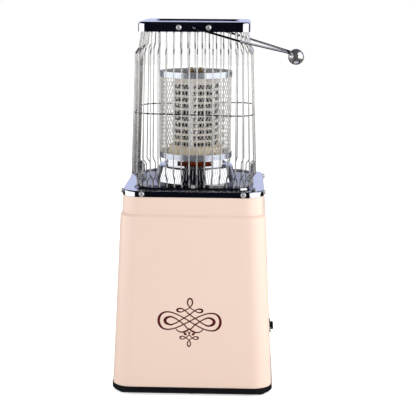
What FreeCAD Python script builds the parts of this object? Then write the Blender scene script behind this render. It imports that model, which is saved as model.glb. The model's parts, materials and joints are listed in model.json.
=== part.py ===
import FreeCAD
import Part
import math
import os

# Square cage heater: a slotted ceramic core stands in a wire cage on a tapered, painted base.
# Millimetres, +Z up, front towards -Y. The origin is the centre of the footprint on the floor.

# Fits
SEAT_GAP = 0.3            # left between a piece and the face it rests on
WELD_GAP = 0.05           # left between wires and sheets that are spot-welded
FIT_GAP = 0.1             # radial play of a screw, stud or pin in its hole

# Base tray and feet
BASE_WIDTH = 240.0
BASE_CORNER = 30.0
TRAY_HEIGHT = 10.0
TRAY_WALL = 3.0
TRAY_FLOOR = 2.5
TRAY_CHAMFER = 2.5
FOOT_HEIGHT = 3.0
FOOT_RADIUS = 9.0
FOOT_INSET = 20.0         # from the tray's sides to the middle of a foot
FOOT_STEM_RADIUS = 3.0
VENT_LENGTH = 60.0
VENT_WIDTH = 5.0
VENT_PITCH = 14.0
VENT_COUNT = 4

# Body shell
SHELL_SHEET = 0.8
SHELL_CORNER = 29.0
SHELL_LEDGE = 1.0         # the skirt of the tray stands this far outside the shell
SHELL_SKIRT_HEIGHT = 254.5
SHELL_FLANGE = 16.0       # turned in at the bottom edge
STEP_OUT = 3.0            # joggle between the shell and its collar
STEP_RISE = 3.0
COLLAR_HEIGHT = 26.0
COLLAR_DRAFT = 0.6
COLLAR_INSET = 0.3        # the collar's top stands this far inside the deck's rim

# Deck tray
DECK_WIDTH = 208.0
DECK_CORNER = 29.0
DECK_RIM = 8.4
DECK_SHEET = 1.0
DECK_EDGE = 2.5
DECK_PLATEAU_WIDTH = 176.0
DECK_PLATEAU_CORNER = 32.0
DECK_PLATEAU_RISE = 2.9
PLATEAU_DRAFT = 3.0
DECK_SCREW_SPAN = 148.0
RIM_GAP = 0.2             # between the deck's rim and the collar's shoulder
LIP_DROP = 0.6            # share of the deck's rounded edge that the shell's lip stays below

# Screws
SCREW_HEAD_RADIUS = 3.9
SCREW_HEAD_RATIO = 0.56   # head's height as a share of its radius
SCREW_RADIUS = 1.8
SCREW_LENGTH = 8.0

# Pedestal, stand and seat under the core
PEDESTAL_BASE_RADIUS = 62.0
PEDESTAL_TOP_RADIUS = 56.5
PEDESTAL_HEIGHT = 23.5
PEDESTAL_SHOULDER = 4.0
PEDESTAL_SHEET = 1.0
WIRE_WAY_RADIUS = 12.0    # hole through deck, pedestal, seat and core for studs and leads
STAND_RADIUS = 48.0
STAND_SHEET = 1.2
STAND_HEIGHT = 11.0
STAND_RIM = 1.8
STAND_LEG_ANGLE = 24.0
STAND_LEGS = 4
SEAT_RADIUS = 26.0
SEAT_HEIGHT = 13.5

# Mesh guard and its bands
GUARD_RADIUS = 54.0
GUARD_SHEET = 0.8
GUARD_HEIGHT = 130.5
GUARD_FLATS = 30
GUARD_ROWS = 9
GUARD_STRAND = 2.0
BAND_SHEET = 0.8
BAND_HEIGHT = 8.5
BAND_FLANGE = 10.0

# Ceramic core
CORE_CORNER_RADIUS = 36.5
CORE_TURN = -8.0          # degrees from the front to the nearest corner of the barrel
CORE_WALL = 4.5
CORE_FLOOR = 5.0
CORE_HEIGHT = 121.0
CORE_FLANGE_RADIUS = 41.0
CORE_FLANGE_HEIGHT = 14.4
CORE_SIDES = 6
CORE_BROW = 10.8          # plain ceramic above the top row of slots
SLOT_ROWS = 10
SLOT_SHARE = 0.65         # slot's height as a share of the pitch of the rows
SLOT_RIB = 3.2            # ceramic left beside a slot, measured to the barrel's corner
RAIL_SHEET = 0.5          # angle strips on the barrel's corners
RAIL_WIDTH = 2.8
BAR_COUNT = 6
BAR_RADIUS = 2.6
BAR_CIRCLE = 17.0
DISC_RADIUS = 31.0
DISC_THICKNESS = 4.0
STUD_RADIUS = 2.0
STUD_SPAN = 13.0
STUD_PROUD = 8.0
NUT_RADIUS = 4.0
NUT_HEIGHT = 3.2

# Heat shield and thermal cut-out under the deck
SHIELD_WIDTH = 140.0
SHIELD_CORNER = 10.0
SHIELD_SHEET = 0.8
SHIELD_RIM = 6.0
SHIELD_DROP = 20.0
SPACER_RADIUS = 5.0
SPACER_BORE = 2.2
SPACER_SPAN = 110.0
CUTOUT_RADIUS = 8.5
CUTOUT_HEIGHT = 9.0
CUTOUT_OFFSET = 35.0
BLADE_WIDTH = 4.8
BLADE_THICKNESS = 0.8
BLADE_LENGTH = 8.0

# Wire cage
WIRES_PER_SIDE = 15
WIRE_RADIUS = 1.0
WIRE_FACES = 6
CAGE_WIDTH = 182.0        # between wire centre lines, just above the lower joggle
CAGE_CORNER = 31.4
CAGE_FOOT_WIDTH = 169.0
CAGE_SHOULDER_WIDTH = 174.6
CAGE_NECK_WIDTH = 165.0
CAGE_TOP_WIDTH = 149.0
CAGE_FOOT_SPREAD = 0.965  # spacing of the wires at the foot, as a share of that above the joggle
CAGE_TOP_SPREAD = 0.99    # the same share above the shoulder
CAGE_HEIGHT = 238.2
JOGGLE_HEIGHT = 11.7
JOGGLE_RISE = 7.0
SHOULDER_DROP = 36.5      # from the top of the cage to the top of the shoulder
SHOULDER_RISE = 9.0
WAIST_HEIGHT = 107.4
RING_RADIUS = 1.0
TOP_RING_RADIUS = 0.9
TOP_RING_DROP = 1.2
CLIP_WIDTH = 6.4
CLIP_SHEET = 0.8
CLIP_REACH = 2.4          # the clip reaches this far past the ring's centre line
CLIP_HEAD_RADIUS = 2.5
CLIP_SCREW_RADIUS = 1.4

# Top cap
CAP_WIDTH = 162.0
CAP_CORNER = 14.0
CAP_RIM = 14.1
CAP_SHEET = 1.0
CAP_EDGE = 3.5
CAP_PANEL_WIDTH = 124.0   # shallow panel sunk in the top
CAP_PANEL_CORNER = 12.0
CAP_PANEL_DEPTH = 1.6
PIVOT_RISE = 6.3          # handle's pivot above the rim's bottom edge
CAP_SCREW_SPAN = 42.8
CAP_SCREW_LENGTH = 3.8
PIVOT_PLATE_WIDTH = 56.0
PIVOT_PLATE_SHEET = 1.2

# Bail handle, in the plane of its arms
HANDLE_TILT = 17.2        # degrees below level where the arms lie on the cage
ARM_RADIUS = 1.6
ARM_OFFSET = 6.0          # arm centre line outside the cap's rim
ARM_BEND_AT = 76.5        # from the pivot to the bend towards the ball
ARM_JOIN_AT = 124.0       # from the pivot to the bend into the ball
ARM_JOIN_OFFSET = 6.5
ARM_BEND_RADIUS = 8.0
PIVOT_BEND_RADIUS = 4.0
PIVOT_INSIDE = 9.5        # pivot end inside the rim's face
PIVOT_CAP_RADIUS = 2.6
PIVOT_CAP_THICKNESS = 1.4
BALL_RADIUS = 12.0
BALL_AT = 158.5
BALL_SOCKET = 7.0

# Rocker switch on the right side
SWITCH_HEIGHT = 63.0      # above the shell's bottom edge
SWITCH_LENGTH = 31.0
SWITCH_WIDTH = 14.0
SWITCH_BEZEL = 2.0
SWITCH_DEPTH = 15.0
SWITCH_WALL = 1.6
SWITCH_POCKET = 9.0
ROCKER_GAP = 0.35
ROCKER_TILT = 12.0
ROCKER_RISE = 4.0         # ends of the rocker above the bezel's back, when level
ROCKER_DIP = 2.2
ROCKER_AXIS_DEPTH = 2.0
ROCKER_PIN_RADIUS = 1.2
ROCKER_PIN_GAP = 0.08
ROCKER_RADIUS = 12.2      # round ends of the rocker, about its axle
SWITCH_BLADE_PITCH = 9.0

# Cord gland low on the back
GLAND_HEIGHT = 32.0
GLAND_RADIUS = 7.0
GLAND_FLANGE_RADIUS = 10.0
GLAND_FLANGE = 3.0
GLAND_LENGTH = 14.0
GLAND_BORE = 3.8

# Terminal block and tip-over switch on the tray's floor
BLOCK_LENGTH = 44.0
BLOCK_WIDTH = 20.0
BLOCK_HEIGHT = 16.0
BLOCK_WAYS = 3
BLOCK_BORE = 2.6
BLOCK_SCREW_RADIUS = 1.8
BLOCK_OFFSET_X = -45.0
BLOCK_OFFSET_Y = 55.0
TIP_OFFSET_X = 62.0
TIP_OFFSET_Y = -62.0
TIP_LENGTH = 30.0
TIP_WIDTH = 16.0
TIP_HEIGHT = 24.0
PLUNGER_RADIUS = 3.0
PLUNGER_COLLAR = 5.0
PLUNGER_COLLAR_HEIGHT = 2.0
PLUNGER_TRAVEL = 5.0
PLUNGER_LIFT = 0.2        # plunger's tip above the floor while the heater stands

# Heights that follow from the sizes above
tray_bottom = FOOT_HEIGHT
tray_floor = tray_bottom + TRAY_FLOOR
tray_top = tray_bottom + TRAY_HEIGHT
step_z = tray_top + SHELL_SKIRT_HEIGHT
collar_low = step_z + STEP_RISE
collar_top = collar_low + COLLAR_HEIGHT
rim_bottom = collar_top + RIM_GAP
deck_top = rim_bottom + DECK_RIM
plateau_top = deck_top + DECK_PLATEAU_RISE
pedestal_top = plateau_top + PEDESTAL_HEIGHT
stand_top = pedestal_top + STAND_HEIGHT
guard_top = stand_top + GUARD_HEIGHT
core_bottom = pedestal_top + SEAT_HEIGHT
core_top = core_bottom + CORE_HEIGHT
disc_top = core_top + DISC_THICKNESS
shield_top = plateau_top - DECK_SHEET - SHIELD_DROP
cage_bottom = plateau_top + SEAT_GAP
cage_top = cage_bottom + CAGE_HEIGHT
cap_top = cage_top + SEAT_GAP + CAP_SHEET
cap_bottom = cap_top - CAP_RIM
pivot_z = cap_bottom + PIVOT_RISE

# Half widths that several pieces share
deck_half = DECK_WIDTH / 2
shell_bottom_half = BASE_WIDTH / 2 - SHELL_LEDGE
collar_top_half = deck_half - COLLAR_INSET
collar_low_half = collar_top_half + COLLAR_DRAFT
step_half = collar_low_half + STEP_OUT
lip_half = deck_half - DECK_SHEET - SEAT_GAP
cap_half = CAP_WIDTH / 2
arm_y = cap_half + ARM_OFFSET
shell_lean = math.degrees(math.atan2(shell_bottom_half - step_half, SHELL_SKIRT_HEIGHT))

V = FreeCAD.Vector
UP = V(0, 0, 1)
MARGIN = 2.0              # cutting tools run this far past the faces they cut


def save(name, *solids):
    """Write one node; several solids become a group."""
    shape = solids[0] if len(solids) == 1 else Part.makeCompound(list(solids))
    shape.exportStep("parts/%s.step" % name)


def rounded_square(half, radius, z):
    """Closed outline of a square with round corners at height z."""
    flat = half - radius
    mid = flat + radius * math.sqrt(0.5)
    edges = []
    for turn in range(4):
        spin = FreeCAD.Rotation(UP, 90 * turn)
        corners = [V(half, -flat, z), V(half, flat, z), V(mid, mid, z), V(flat, half, z)]
        start, bend, middle, end = [spin.multVec(point) for point in corners]
        edges.append(Part.LineSegment(start, bend).toShape())
        edges.append(Part.Arc(bend, middle, end).toShape())
    return Part.Wire(edges)


def slab(half, radius, low, high):
    """Upright block with a rounded-square outline."""
    return Part.Face(rounded_square(half, radius, low)).extrude(V(0, 0, high - low))


def tapered(levels):
    """Solid through rounded squares, each given as half width, corner radius and height."""
    return Part.makeLoft([rounded_square(*level) for level in levels], True, True)


def cylinder(radius, low, high, x=0.0, y=0.0):
    return Part.makeCylinder(radius, high - low, V(x, y, low))


def box(length, width, low, high, x=0.0, y=0.0):
    """Block centred on x, y."""
    return Part.makeBox(length, width, high - low, V(x - length / 2, y - width / 2, low))


def turned(points):
    """Solid of revolution about Z from an outline of radius and height pairs."""
    outline = [V(radius, 0, z) for radius, z in points]
    face = Part.Face(Part.makePolygon(outline + outline[:1]))
    return face.revolve(V(0, 0, 0), UP, 360)


def polygon_prism(sides, corner_radius, low, high, first_angle):
    """Upright prism with a regular outline; the first corner lies at first_angle degrees."""
    points = []
    for index in range(sides + 1):
        angle = math.radians(first_angle + 360.0 * index / sides)
        points.append(V(corner_radius * math.cos(angle), corner_radius * math.sin(angle), low))
    return Part.Face(Part.makePolygon(points)).extrude(V(0, 0, high - low))


def polygon_reach(radius, faces):
    """Corner radius of the polygon that has the area of a circle."""
    return radius * math.sqrt(2 * math.pi / (faces * math.sin(2 * math.pi / faces)))


def profile_ring(centre, direction, radius, faces):
    """Closed section across a wire: a circle, or a polygon of the same area."""
    if faces == 0:
        return Part.Wire(Part.makeCircle(radius, centre, direction))
    reach = polygon_reach(radius, faces)
    turn = FreeCAD.Rotation(UP, direction)
    points = []
    for index in range(faces + 1):
        angle = 2 * math.pi * index / faces
        points.append(centre + turn.multVec(V(reach * math.cos(angle), reach * math.sin(angle), 0)))
    return Part.makePolygon(points)


def kinked_rod(points, radius, faces):
    """Rod with mitred corners through the points."""
    sweep = Part.BRepOffsetAPI.MakePipeShell(Part.makePolygon(points))
    sweep.setTransitionMode(1)
    sweep.add(profile_ring(points[0], points[1] - points[0], radius, faces))
    sweep.build()
    sweep.makeSolid()
    return sweep.shape()


def bent_rod(points, bends, radius):
    """Round rod of straight runs joined by arcs; bends holds one radius for each inner point."""
    edges = []
    here = points[0]
    for index in range(1, len(points) - 1):
        corner = points[index]
        before = (corner - points[index - 1]).normalize()
        after = (points[index + 1] - corner).normalize()
        half_turn = before.getAngle(after) / 2
        bend = bends[index - 1]
        start = corner - before * (bend * math.tan(half_turn))
        end = corner + after * (bend * math.tan(half_turn))
        inward = (after - before).normalize()
        middle = corner + inward * (bend / math.cos(half_turn) - bend)
        edges.append(Part.LineSegment(here, start).toShape())
        edges.append(Part.Arc(start, middle, end).toShape())
        here = end
    edges.append(Part.LineSegment(here, points[-1]).toShape())
    section = profile_ring(points[0], points[1] - points[0], radius, 0)
    return Part.Wire(edges).makePipeShell([section], True, False)


def wire_loop(half, corner, z, radius):
    """Closed ring of wire on a rounded square."""
    path = rounded_square(half, corner, z)
    section = profile_ring(V(half, corner - half, z), V(0, 1, 0), radius, 0)
    return path.makePipeShell([section], True, False)


def placed(shape, placement):
    copy = shape.copy()
    copy.Placement = placement.multiply(copy.Placement)
    return copy


def aimed(shape, position, outward):
    """Stand a piece made along +Z on a surface point, facing outward."""
    return placed(shape, FreeCAD.Placement(position, FreeCAD.Rotation(UP, outward)))


def quarter_turned(shape, quarters):
    return placed(shape, FreeCAD.Placement(V(0, 0, 0), FreeCAD.Rotation(UP, 90 * quarters)))


def screw(head_radius, radius, length):
    """Pan-head screw along +Z with the underside of its head at the origin."""
    height = head_radius * SCREW_HEAD_RATIO
    outline = [(0, -length), (radius, -length), (radius, 0), (head_radius, 0)]
    outline += [(head_radius, height * 0.55), (head_radius * 0.7, height), (0, height)]
    return turned(outline)


def hex_nut(bore, z):
    nut = polygon_prism(6, NUT_RADIUS, z, z + NUT_HEIGHT, 0)
    return nut.cut(cylinder(bore, z - MARGIN, z + NUT_HEIGHT + MARGIN))


def shell_face(quarters, height):
    """Frame on a sloping side: X level along it, Y up the slope, Z outward."""
    lean = math.radians(shell_lean)
    half = shell_bottom_half - height * math.tan(lean)
    outward = V(math.cos(lean), 0, math.sin(lean))
    upward = V(-math.sin(lean), 0, math.cos(lean))
    spin = FreeCAD.Rotation(UP, 90 * quarters)
    axes = [spin.multVec(axis) for axis in (V(0, 1, 0), upward, outward)]
    origin = spin.multVec(V(half, 0, tray_top + height))
    return FreeCAD.Placement(origin, FreeCAD.Rotation(axes[0], axes[1], axes[2], "ZXY"))


def pressed_pan(width, corner, rim, sheet, edge, panel_width, panel_corner, rise, top):
    """Square lid pressed from sheet: turned-down rim, rounded edge and a raised or sunken panel."""
    def skin(inset, low):
        high = top - inset
        lid = slab(width / 2 - inset, corner - inset, low, high)
        rim_edges = [e for e in lid.Edges if e.BoundBox.ZMin > high - 0.01]
        lid = lid.makeFillet(edge - inset, rim_edges)
        grow = math.copysign(inset, -rise)
        foot = (panel_width / 2 + PLATEAU_DRAFT + grow, panel_corner + PLATEAU_DRAFT + grow)
        brow = (panel_width / 2 + grow, panel_corner + grow)
        if rise > 0:
            return lid.fuse(tapered([foot + (high - sheet / 2,), brow + (high + rise,)]))
        return lid.cut(tapered([brow + (high + rise,), foot + (high,), foot + (high + MARGIN,)]))
    return skin(0, top - rim).cut(skin(sheet, top - rim - MARGIN)).removeSplitter()


def side_screw_points(half, span, z):
    """Positions and outward directions of two screws on each of the four sides."""
    spots = []
    for quarters in range(4):
        spin = FreeCAD.Rotation(UP, 90 * quarters)
        for x in (-span / 2, span / 2):
            spots.append((spin.multVec(V(x, -half, z)), spin.multVec(V(0, -1, 0))))
    return spots


def base_screw_spots():
    """Middle of each side of the shell's bottom flange."""
    reach = shell_bottom_half - SHELL_SHEET - SHELL_FLANGE / 2
    return [(reach, 0), (-reach, 0), (0, reach), (0, -reach)]


def foot_spots():
    reach = BASE_WIDTH / 2 - FOOT_INSET
    return [(x, y) for x in (-reach, reach) for y in (-reach, reach)]


def make_base():
    half = BASE_WIDTH / 2
    low = (half - TRAY_CHAMFER, BASE_CORNER - TRAY_CHAMFER, tray_bottom)
    brim = (half, BASE_CORNER, tray_bottom + TRAY_CHAMFER)
    tray = tapered([low, brim, (half, BASE_CORNER, tray_top)])
    hollow = slab(half - TRAY_WALL, BASE_CORNER - TRAY_WALL, tray_floor, tray_top + MARGIN)
    tray = tray.cut(hollow)
    boss_radius = SCREW_HEAD_RADIUS + TRAY_WALL / 2
    holes = []
    for x, y in base_screw_spots():
        tray = tray.fuse(cylinder(boss_radius, tray_floor - TRAY_FLOOR / 2, tray_top, x, y))
        holes.append(cylinder(SCREW_RADIUS + FIT_GAP, 0, tray_top + MARGIN, x, y))
    for x, y in foot_spots():
        holes.append(cylinder(FOOT_STEM_RADIUS + FIT_GAP, 0, tray_top, x, y))
    holes.append(cylinder(PLUNGER_RADIUS + FIT_GAP, 0, tray_top, TIP_OFFSET_X, TIP_OFFSET_Y))
    for index in range(VENT_COUNT):
        y = (index - (VENT_COUNT - 1) / 2) * VENT_PITCH
        holes.append(box(VENT_LENGTH, VENT_WIDTH, 0, tray_top, 0, y))
    save("base_tray", tray.cut(holes))

    feet = []
    for x, y in foot_spots():
        pad = cylinder(FOOT_RADIUS, 0, FOOT_HEIGHT, x, y)
        feet.append(pad.fuse(cylinder(FOOT_STEM_RADIUS, FOOT_HEIGHT / 2, tray_floor, x, y)))
    save("feet", *feet)

    length = TRAY_HEIGHT + SHELL_SHEET + FIT_GAP
    bolt = screw(SCREW_HEAD_RADIUS, SCREW_RADIUS, length)
    bolts = [aimed(bolt, V(x, y, tray_bottom), V(0, 0, -1)) for x, y in base_screw_spots()]
    save("base_screws", *bolts)


def make_shell():
    def skin(inset, low, high):
        corner = SHELL_CORNER - inset
        levels = [
            (shell_bottom_half - inset, corner, low),
            (step_half - inset, corner, step_z),
            (collar_low_half - inset, corner, collar_low),
            (collar_top_half - inset, corner, collar_top - SEAT_GAP),
            (lip_half - inset, corner, collar_top),
            (lip_half - inset, corner, high),
        ]
        return tapered(levels)
    lip_top = deck_top - DECK_SHEET - LIP_DROP * (DECK_EDGE - DECK_SHEET)
    outer = skin(0, tray_top, lip_top)
    inner = skin(SHELL_SHEET, tray_top, lip_top)
    shell = outer.cut(inner)
    middle = shell_bottom_half - SHELL_SHEET / 2
    flange = slab(middle, SHELL_CORNER - SHELL_SHEET / 2, tray_top, tray_top + SHELL_SHEET)
    inside = shell_bottom_half - SHELL_SHEET - SHELL_FLANGE
    flange = flange.cut(slab(inside, SHELL_CORNER - SHELL_FLANGE, 0, step_z))
    shell = shell.fuse(flange)

    holes = []
    for x, y in base_screw_spots():
        holes.append(cylinder(SCREW_RADIUS + FIT_GAP, tray_bottom, tray_top + MARGIN, x, y))
    pin = cylinder(SCREW_RADIUS + FIT_GAP, -SCREW_LENGTH, SCREW_LENGTH)
    for position, outward in side_screw_points(deck_half, DECK_SCREW_SPAN, rim_bottom + DECK_RIM / 2):
        holes.append(aimed(pin, position, outward))
    window_length = SWITCH_LENGTH - 2 * SWITCH_BEZEL + 2 * FIT_GAP
    window_width = SWITCH_WIDTH - 2 * SWITCH_BEZEL + 2 * FIT_GAP
    window = box(window_length, window_width, -SWITCH_DEPTH, SWITCH_DEPTH)
    holes.append(placed(window, shell_face(0, SWITCH_HEIGHT)))
    port = cylinder(GLAND_RADIUS + FIT_GAP, -GLAND_LENGTH, GLAND_LENGTH)
    holes.append(placed(port, shell_face(1, GLAND_HEIGHT)))
    save("body_shell", shell.cut(holes))


def make_deck():
    deck = pressed_pan(DECK_WIDTH, DECK_CORNER, DECK_RIM, DECK_SHEET, DECK_EDGE, DECK_PLATEAU_WIDTH,
                       DECK_PLATEAU_CORNER, DECK_PLATEAU_RISE, deck_top)
    holes = [cylinder(WIRE_WAY_RADIUS, rim_bottom, plateau_top + MARGIN)]
    pin = cylinder(SCREW_RADIUS + FIT_GAP, -SCREW_LENGTH, SCREW_LENGTH)
    bolts = []
    bolt = screw(SCREW_HEAD_RADIUS, SCREW_RADIUS, SCREW_LENGTH)
    for position, outward in side_screw_points(deck_half, DECK_SCREW_SPAN, rim_bottom + DECK_RIM / 2):
        holes.append(aimed(pin, position, outward))
        bolts.append(aimed(bolt, position, outward))
    for spot in clip_spots():
        radius = CLIP_SCREW_RADIUS + FIT_GAP
        holes.append(cylinder(radius, rim_bottom, plateau_top + MARGIN, spot.x, spot.y))
    save("deck_tray", deck.cut(holes))
    save("deck_screws", *bolts)


def make_pedestal():
    def profile(inset):
        slope = PEDESTAL_TOP_RADIUS - inset
        base = V(PEDESTAL_BASE_RADIUS - inset, 0, plateau_top)
        high = pedestal_top - inset
        bend = PEDESTAL_SHOULDER - inset
        centre = V(slope - bend, 0, high - bend)
        start = V(slope, 0, high - bend)
        end = V(slope - bend, 0, high)
        middle = centre + V(bend * math.sqrt(0.5), 0, bend * math.sqrt(0.5))
        return base, start, middle, end, V(WIRE_WAY_RADIUS, 0, high)
    base, start, middle, end, mouth = profile(0)
    inner_base, inner_start, inner_middle, inner_end, inner_mouth = profile(PEDESTAL_SHEET)
    edges = [
        Part.LineSegment(base, start).toShape(),
        Part.Arc(start, middle, end).toShape(),
        Part.LineSegment(end, mouth).toShape(),
        Part.LineSegment(mouth, inner_mouth).toShape(),
        Part.LineSegment(inner_mouth, inner_end).toShape(),
        Part.Arc(inner_end, inner_middle, inner_start).toShape(),
        Part.LineSegment(inner_start, inner_base).toShape(),
        Part.LineSegment(inner_base, base).toShape(),
    ]
    save("pedestal", Part.Face(Part.Wire(edges)).revolve(V(0, 0, 0), UP, 360))


def make_stand():
    ring = cylinder(STAND_RADIUS, pedestal_top, stand_top)
    ring = ring.cut(cylinder(STAND_RADIUS - STAND_SHEET, pedestal_top, stand_top))
    low = pedestal_top + STAND_RIM
    high = stand_top - STAND_RIM
    window_angle = 360.0 / STAND_LEGS - STAND_LEG_ANGLE
    windows = []
    for index in range(STAND_LEGS):
        sector = Part.makeCylinder(STAND_RADIUS + MARGIN, high - low, V(0, 0, low), UP, window_angle)
        middle = 360.0 / STAND_LEGS * index
        spin = FreeCAD.Rotation(UP, middle - window_angle / 2)
        windows.append(placed(sector, FreeCAD.Placement(V(0, 0, 0), spin)))
    save("core_stand", ring.cut(windows))

    bulge = SEAT_RADIUS - WIRE_WAY_RADIUS
    middle_z = pedestal_top + SEAT_HEIGHT / 2
    shoulder = SEAT_RADIUS - bulge / 4
    low_in = V(WIRE_WAY_RADIUS, 0, pedestal_top)
    low_out = V(shoulder, 0, pedestal_top)
    high_out = V(shoulder, 0, core_bottom)
    high_in = V(WIRE_WAY_RADIUS, 0, core_bottom)
    edges = [
        Part.LineSegment(low_in, low_out).toShape(),
        Part.Arc(low_out, V(SEAT_RADIUS, 0, middle_z), high_out).toShape(),
        Part.LineSegment(high_out, high_in).toShape(),
        Part.LineSegment(high_in, low_in).toShape(),
    ]
    save("core_seat", Part.Face(Part.Wire(edges)).revolve(V(0, 0, 0), UP, 360))


def make_guard():
    low = stand_top + BAND_SHEET + WELD_GAP
    flat_angle = 360.0 / GUARD_FLATS
    inner_radius = GUARD_RADIUS - GUARD_SHEET / math.cos(math.radians(flat_angle / 2))
    guard = polygon_prism(GUARD_FLATS, GUARD_RADIUS, low, guard_top, flat_angle / 2)
    guard = guard.cut(polygon_prism(GUARD_FLATS, inner_radius, low, guard_top, flat_angle / 2))
    open_low = stand_top + BAND_HEIGHT
    open_high = guard_top - BAND_HEIGHT
    row_pitch = (open_high - open_low) / (GUARD_ROWS + 1)
    flat_width = 2 * GUARD_RADIUS * math.sin(math.radians(flat_angle / 2))
    half_width = (flat_width - GUARD_STRAND) / 2
    half_height = row_pitch * half_width / (flat_width / 2)
    diamonds = []
    for row in range(GUARD_ROWS):
        z = open_low + (row + 1) * row_pitch
        start = V(GUARD_RADIUS - 3 * MARGIN, 0, z)
        corners = [V(0, half_width, 0), V(0, 0, half_height)]
        corners += [corner * -1 for corner in corners]
        outline = [start + corner for corner in corners]
        prism = Part.Face(Part.makePolygon(outline + outline[:1])).extrude(V(4 * MARGIN, 0, 0))
        for column in range(GUARD_FLATS):
            spin = FreeCAD.Rotation(UP, (column + 0.5 * (row % 2)) * flat_angle)
            diamonds.append(placed(prism, FreeCAD.Placement(V(0, 0, 0), spin)))
    save("mesh_guard", guard.cut(diamonds))

    inside = GUARD_RADIUS + WELD_GAP
    outside = inside + BAND_SHEET
    foot = outside - BAND_FLANGE
    outline = [(foot, stand_top), (outside, stand_top), (outside, stand_top + BAND_HEIGHT)]
    outline += [(inside, stand_top + BAND_HEIGHT), (inside, stand_top + BAND_SHEET)]
    outline += [(foot, stand_top + BAND_SHEET)]
    save("mesh_bottom_band", turned(outline))
    ring = cylinder(outside, guard_top - BAND_HEIGHT, guard_top)
    save("mesh_top_band", ring.cut(cylinder(inside, guard_top - BAND_HEIGHT, guard_top)))


def make_core():
    front = CORE_TURN - 90.0
    flange_top = core_bottom + CORE_FLANGE_HEIGHT
    barrel = polygon_prism(CORE_SIDES, CORE_CORNER_RADIUS, core_bottom, core_top, front)
    core = barrel.fuse(cylinder(CORE_FLANGE_RADIUS, core_bottom, flange_top))
    half_side = math.radians(180.0 / CORE_SIDES)
    bore_corner = CORE_CORNER_RADIUS - CORE_WALL / math.cos(half_side)
    bore = polygon_prism(CORE_SIDES, bore_corner, core_bottom + CORE_FLOOR, core_top + MARGIN, front)
    way = cylinder(WIRE_WAY_RADIUS, core_bottom - MARGIN, core_bottom + CORE_FLOOR + MARGIN)
    core = core.cut([bore, way])
    slot_length = 2 * (CORE_CORNER_RADIUS * math.sin(half_side) - SLOT_RIB)
    outer_flat = CORE_CORNER_RADIUS * math.cos(half_side)
    pitch = (core_top - CORE_BROW - flange_top) / SLOT_ROWS
    slots = []
    for row in range(SLOT_ROWS):
        middle = flange_top + (row + 0.5) * pitch
        reach = SLOT_SHARE * pitch / 2
        depth = CORE_WALL + 2 * MARGIN
        slot = box(depth, slot_length, middle - reach, middle + reach, outer_flat - CORE_WALL / 2, 0)
        for side in range(CORE_SIDES):
            spin = FreeCAD.Rotation(UP, front + (side + 0.5) * 360.0 / CORE_SIDES)
            slots.append(placed(slot, FreeCAD.Placement(V(0, 0, 0), spin)))
    save("ceramic_core", core.cut(slots))

    stretch = 1 / math.cos(half_side)
    rail_low = flange_top + WELD_GAP
    inner_corner = CORE_CORNER_RADIUS + WELD_GAP * stretch
    outer_corner = inner_corner + RAIL_SHEET * stretch
    sleeve = polygon_prism(CORE_SIDES, outer_corner, rail_low, core_top, front)
    sleeve = sleeve.cut(polygon_prism(CORE_SIDES, inner_corner, rail_low, core_top, front))
    rail_span = 2 * RAIL_WIDTH * math.cos(half_side)
    keep = box(CORE_CORNER_RADIUS, rail_span, rail_low, core_top, CORE_CORNER_RADIUS, 0)
    rails = []
    for side in range(CORE_SIDES):
        spin = FreeCAD.Rotation(UP, front + side * 360.0 / CORE_SIDES)
        rails.append(sleeve.common(placed(keep, FreeCAD.Placement(V(0, 0, 0), spin))))
    save("core_rails", *rails)

    bars = []
    for index in range(BAR_COUNT):
        angle = 2 * math.pi * index / BAR_COUNT
        x = BAR_CIRCLE * math.cos(angle)
        y = BAR_CIRCLE * math.sin(angle)
        bars.append(cylinder(BAR_RADIUS, core_bottom + CORE_FLOOR + SEAT_GAP, core_top - SEAT_GAP, x, y))
    save("heating_bars", *bars)

    disc = cylinder(DISC_RADIUS, core_top, disc_top)
    low = shield_top - SHIELD_SHEET - NUT_HEIGHT - MARGIN
    studs = []
    top_nuts = []
    low_nuts = []
    for x in (-STUD_SPAN / 2, STUD_SPAN / 2):
        disc = disc.cut(cylinder(STUD_RADIUS + FIT_GAP, core_top, disc_top, x, 0))
        studs.append(cylinder(STUD_RADIUS, low, disc_top + STUD_PROUD, x, 0))
        nut = hex_nut(STUD_RADIUS + FIT_GAP, 0)
        top_nuts.append(placed(nut, FreeCAD.Placement(V(x, 0, disc_top), FreeCAD.Rotation())))
        low_spot = V(x, 0, shield_top - SHIELD_SHEET - NUT_HEIGHT)
        low_nuts.append(placed(nut, FreeCAD.Placement(low_spot, FreeCAD.Rotation())))
    save("terminal_disc", disc)
    save("terminal_studs", *studs)
    save("terminal_nuts", *top_nuts)
    save("stud_nuts", *low_nuts)


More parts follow.
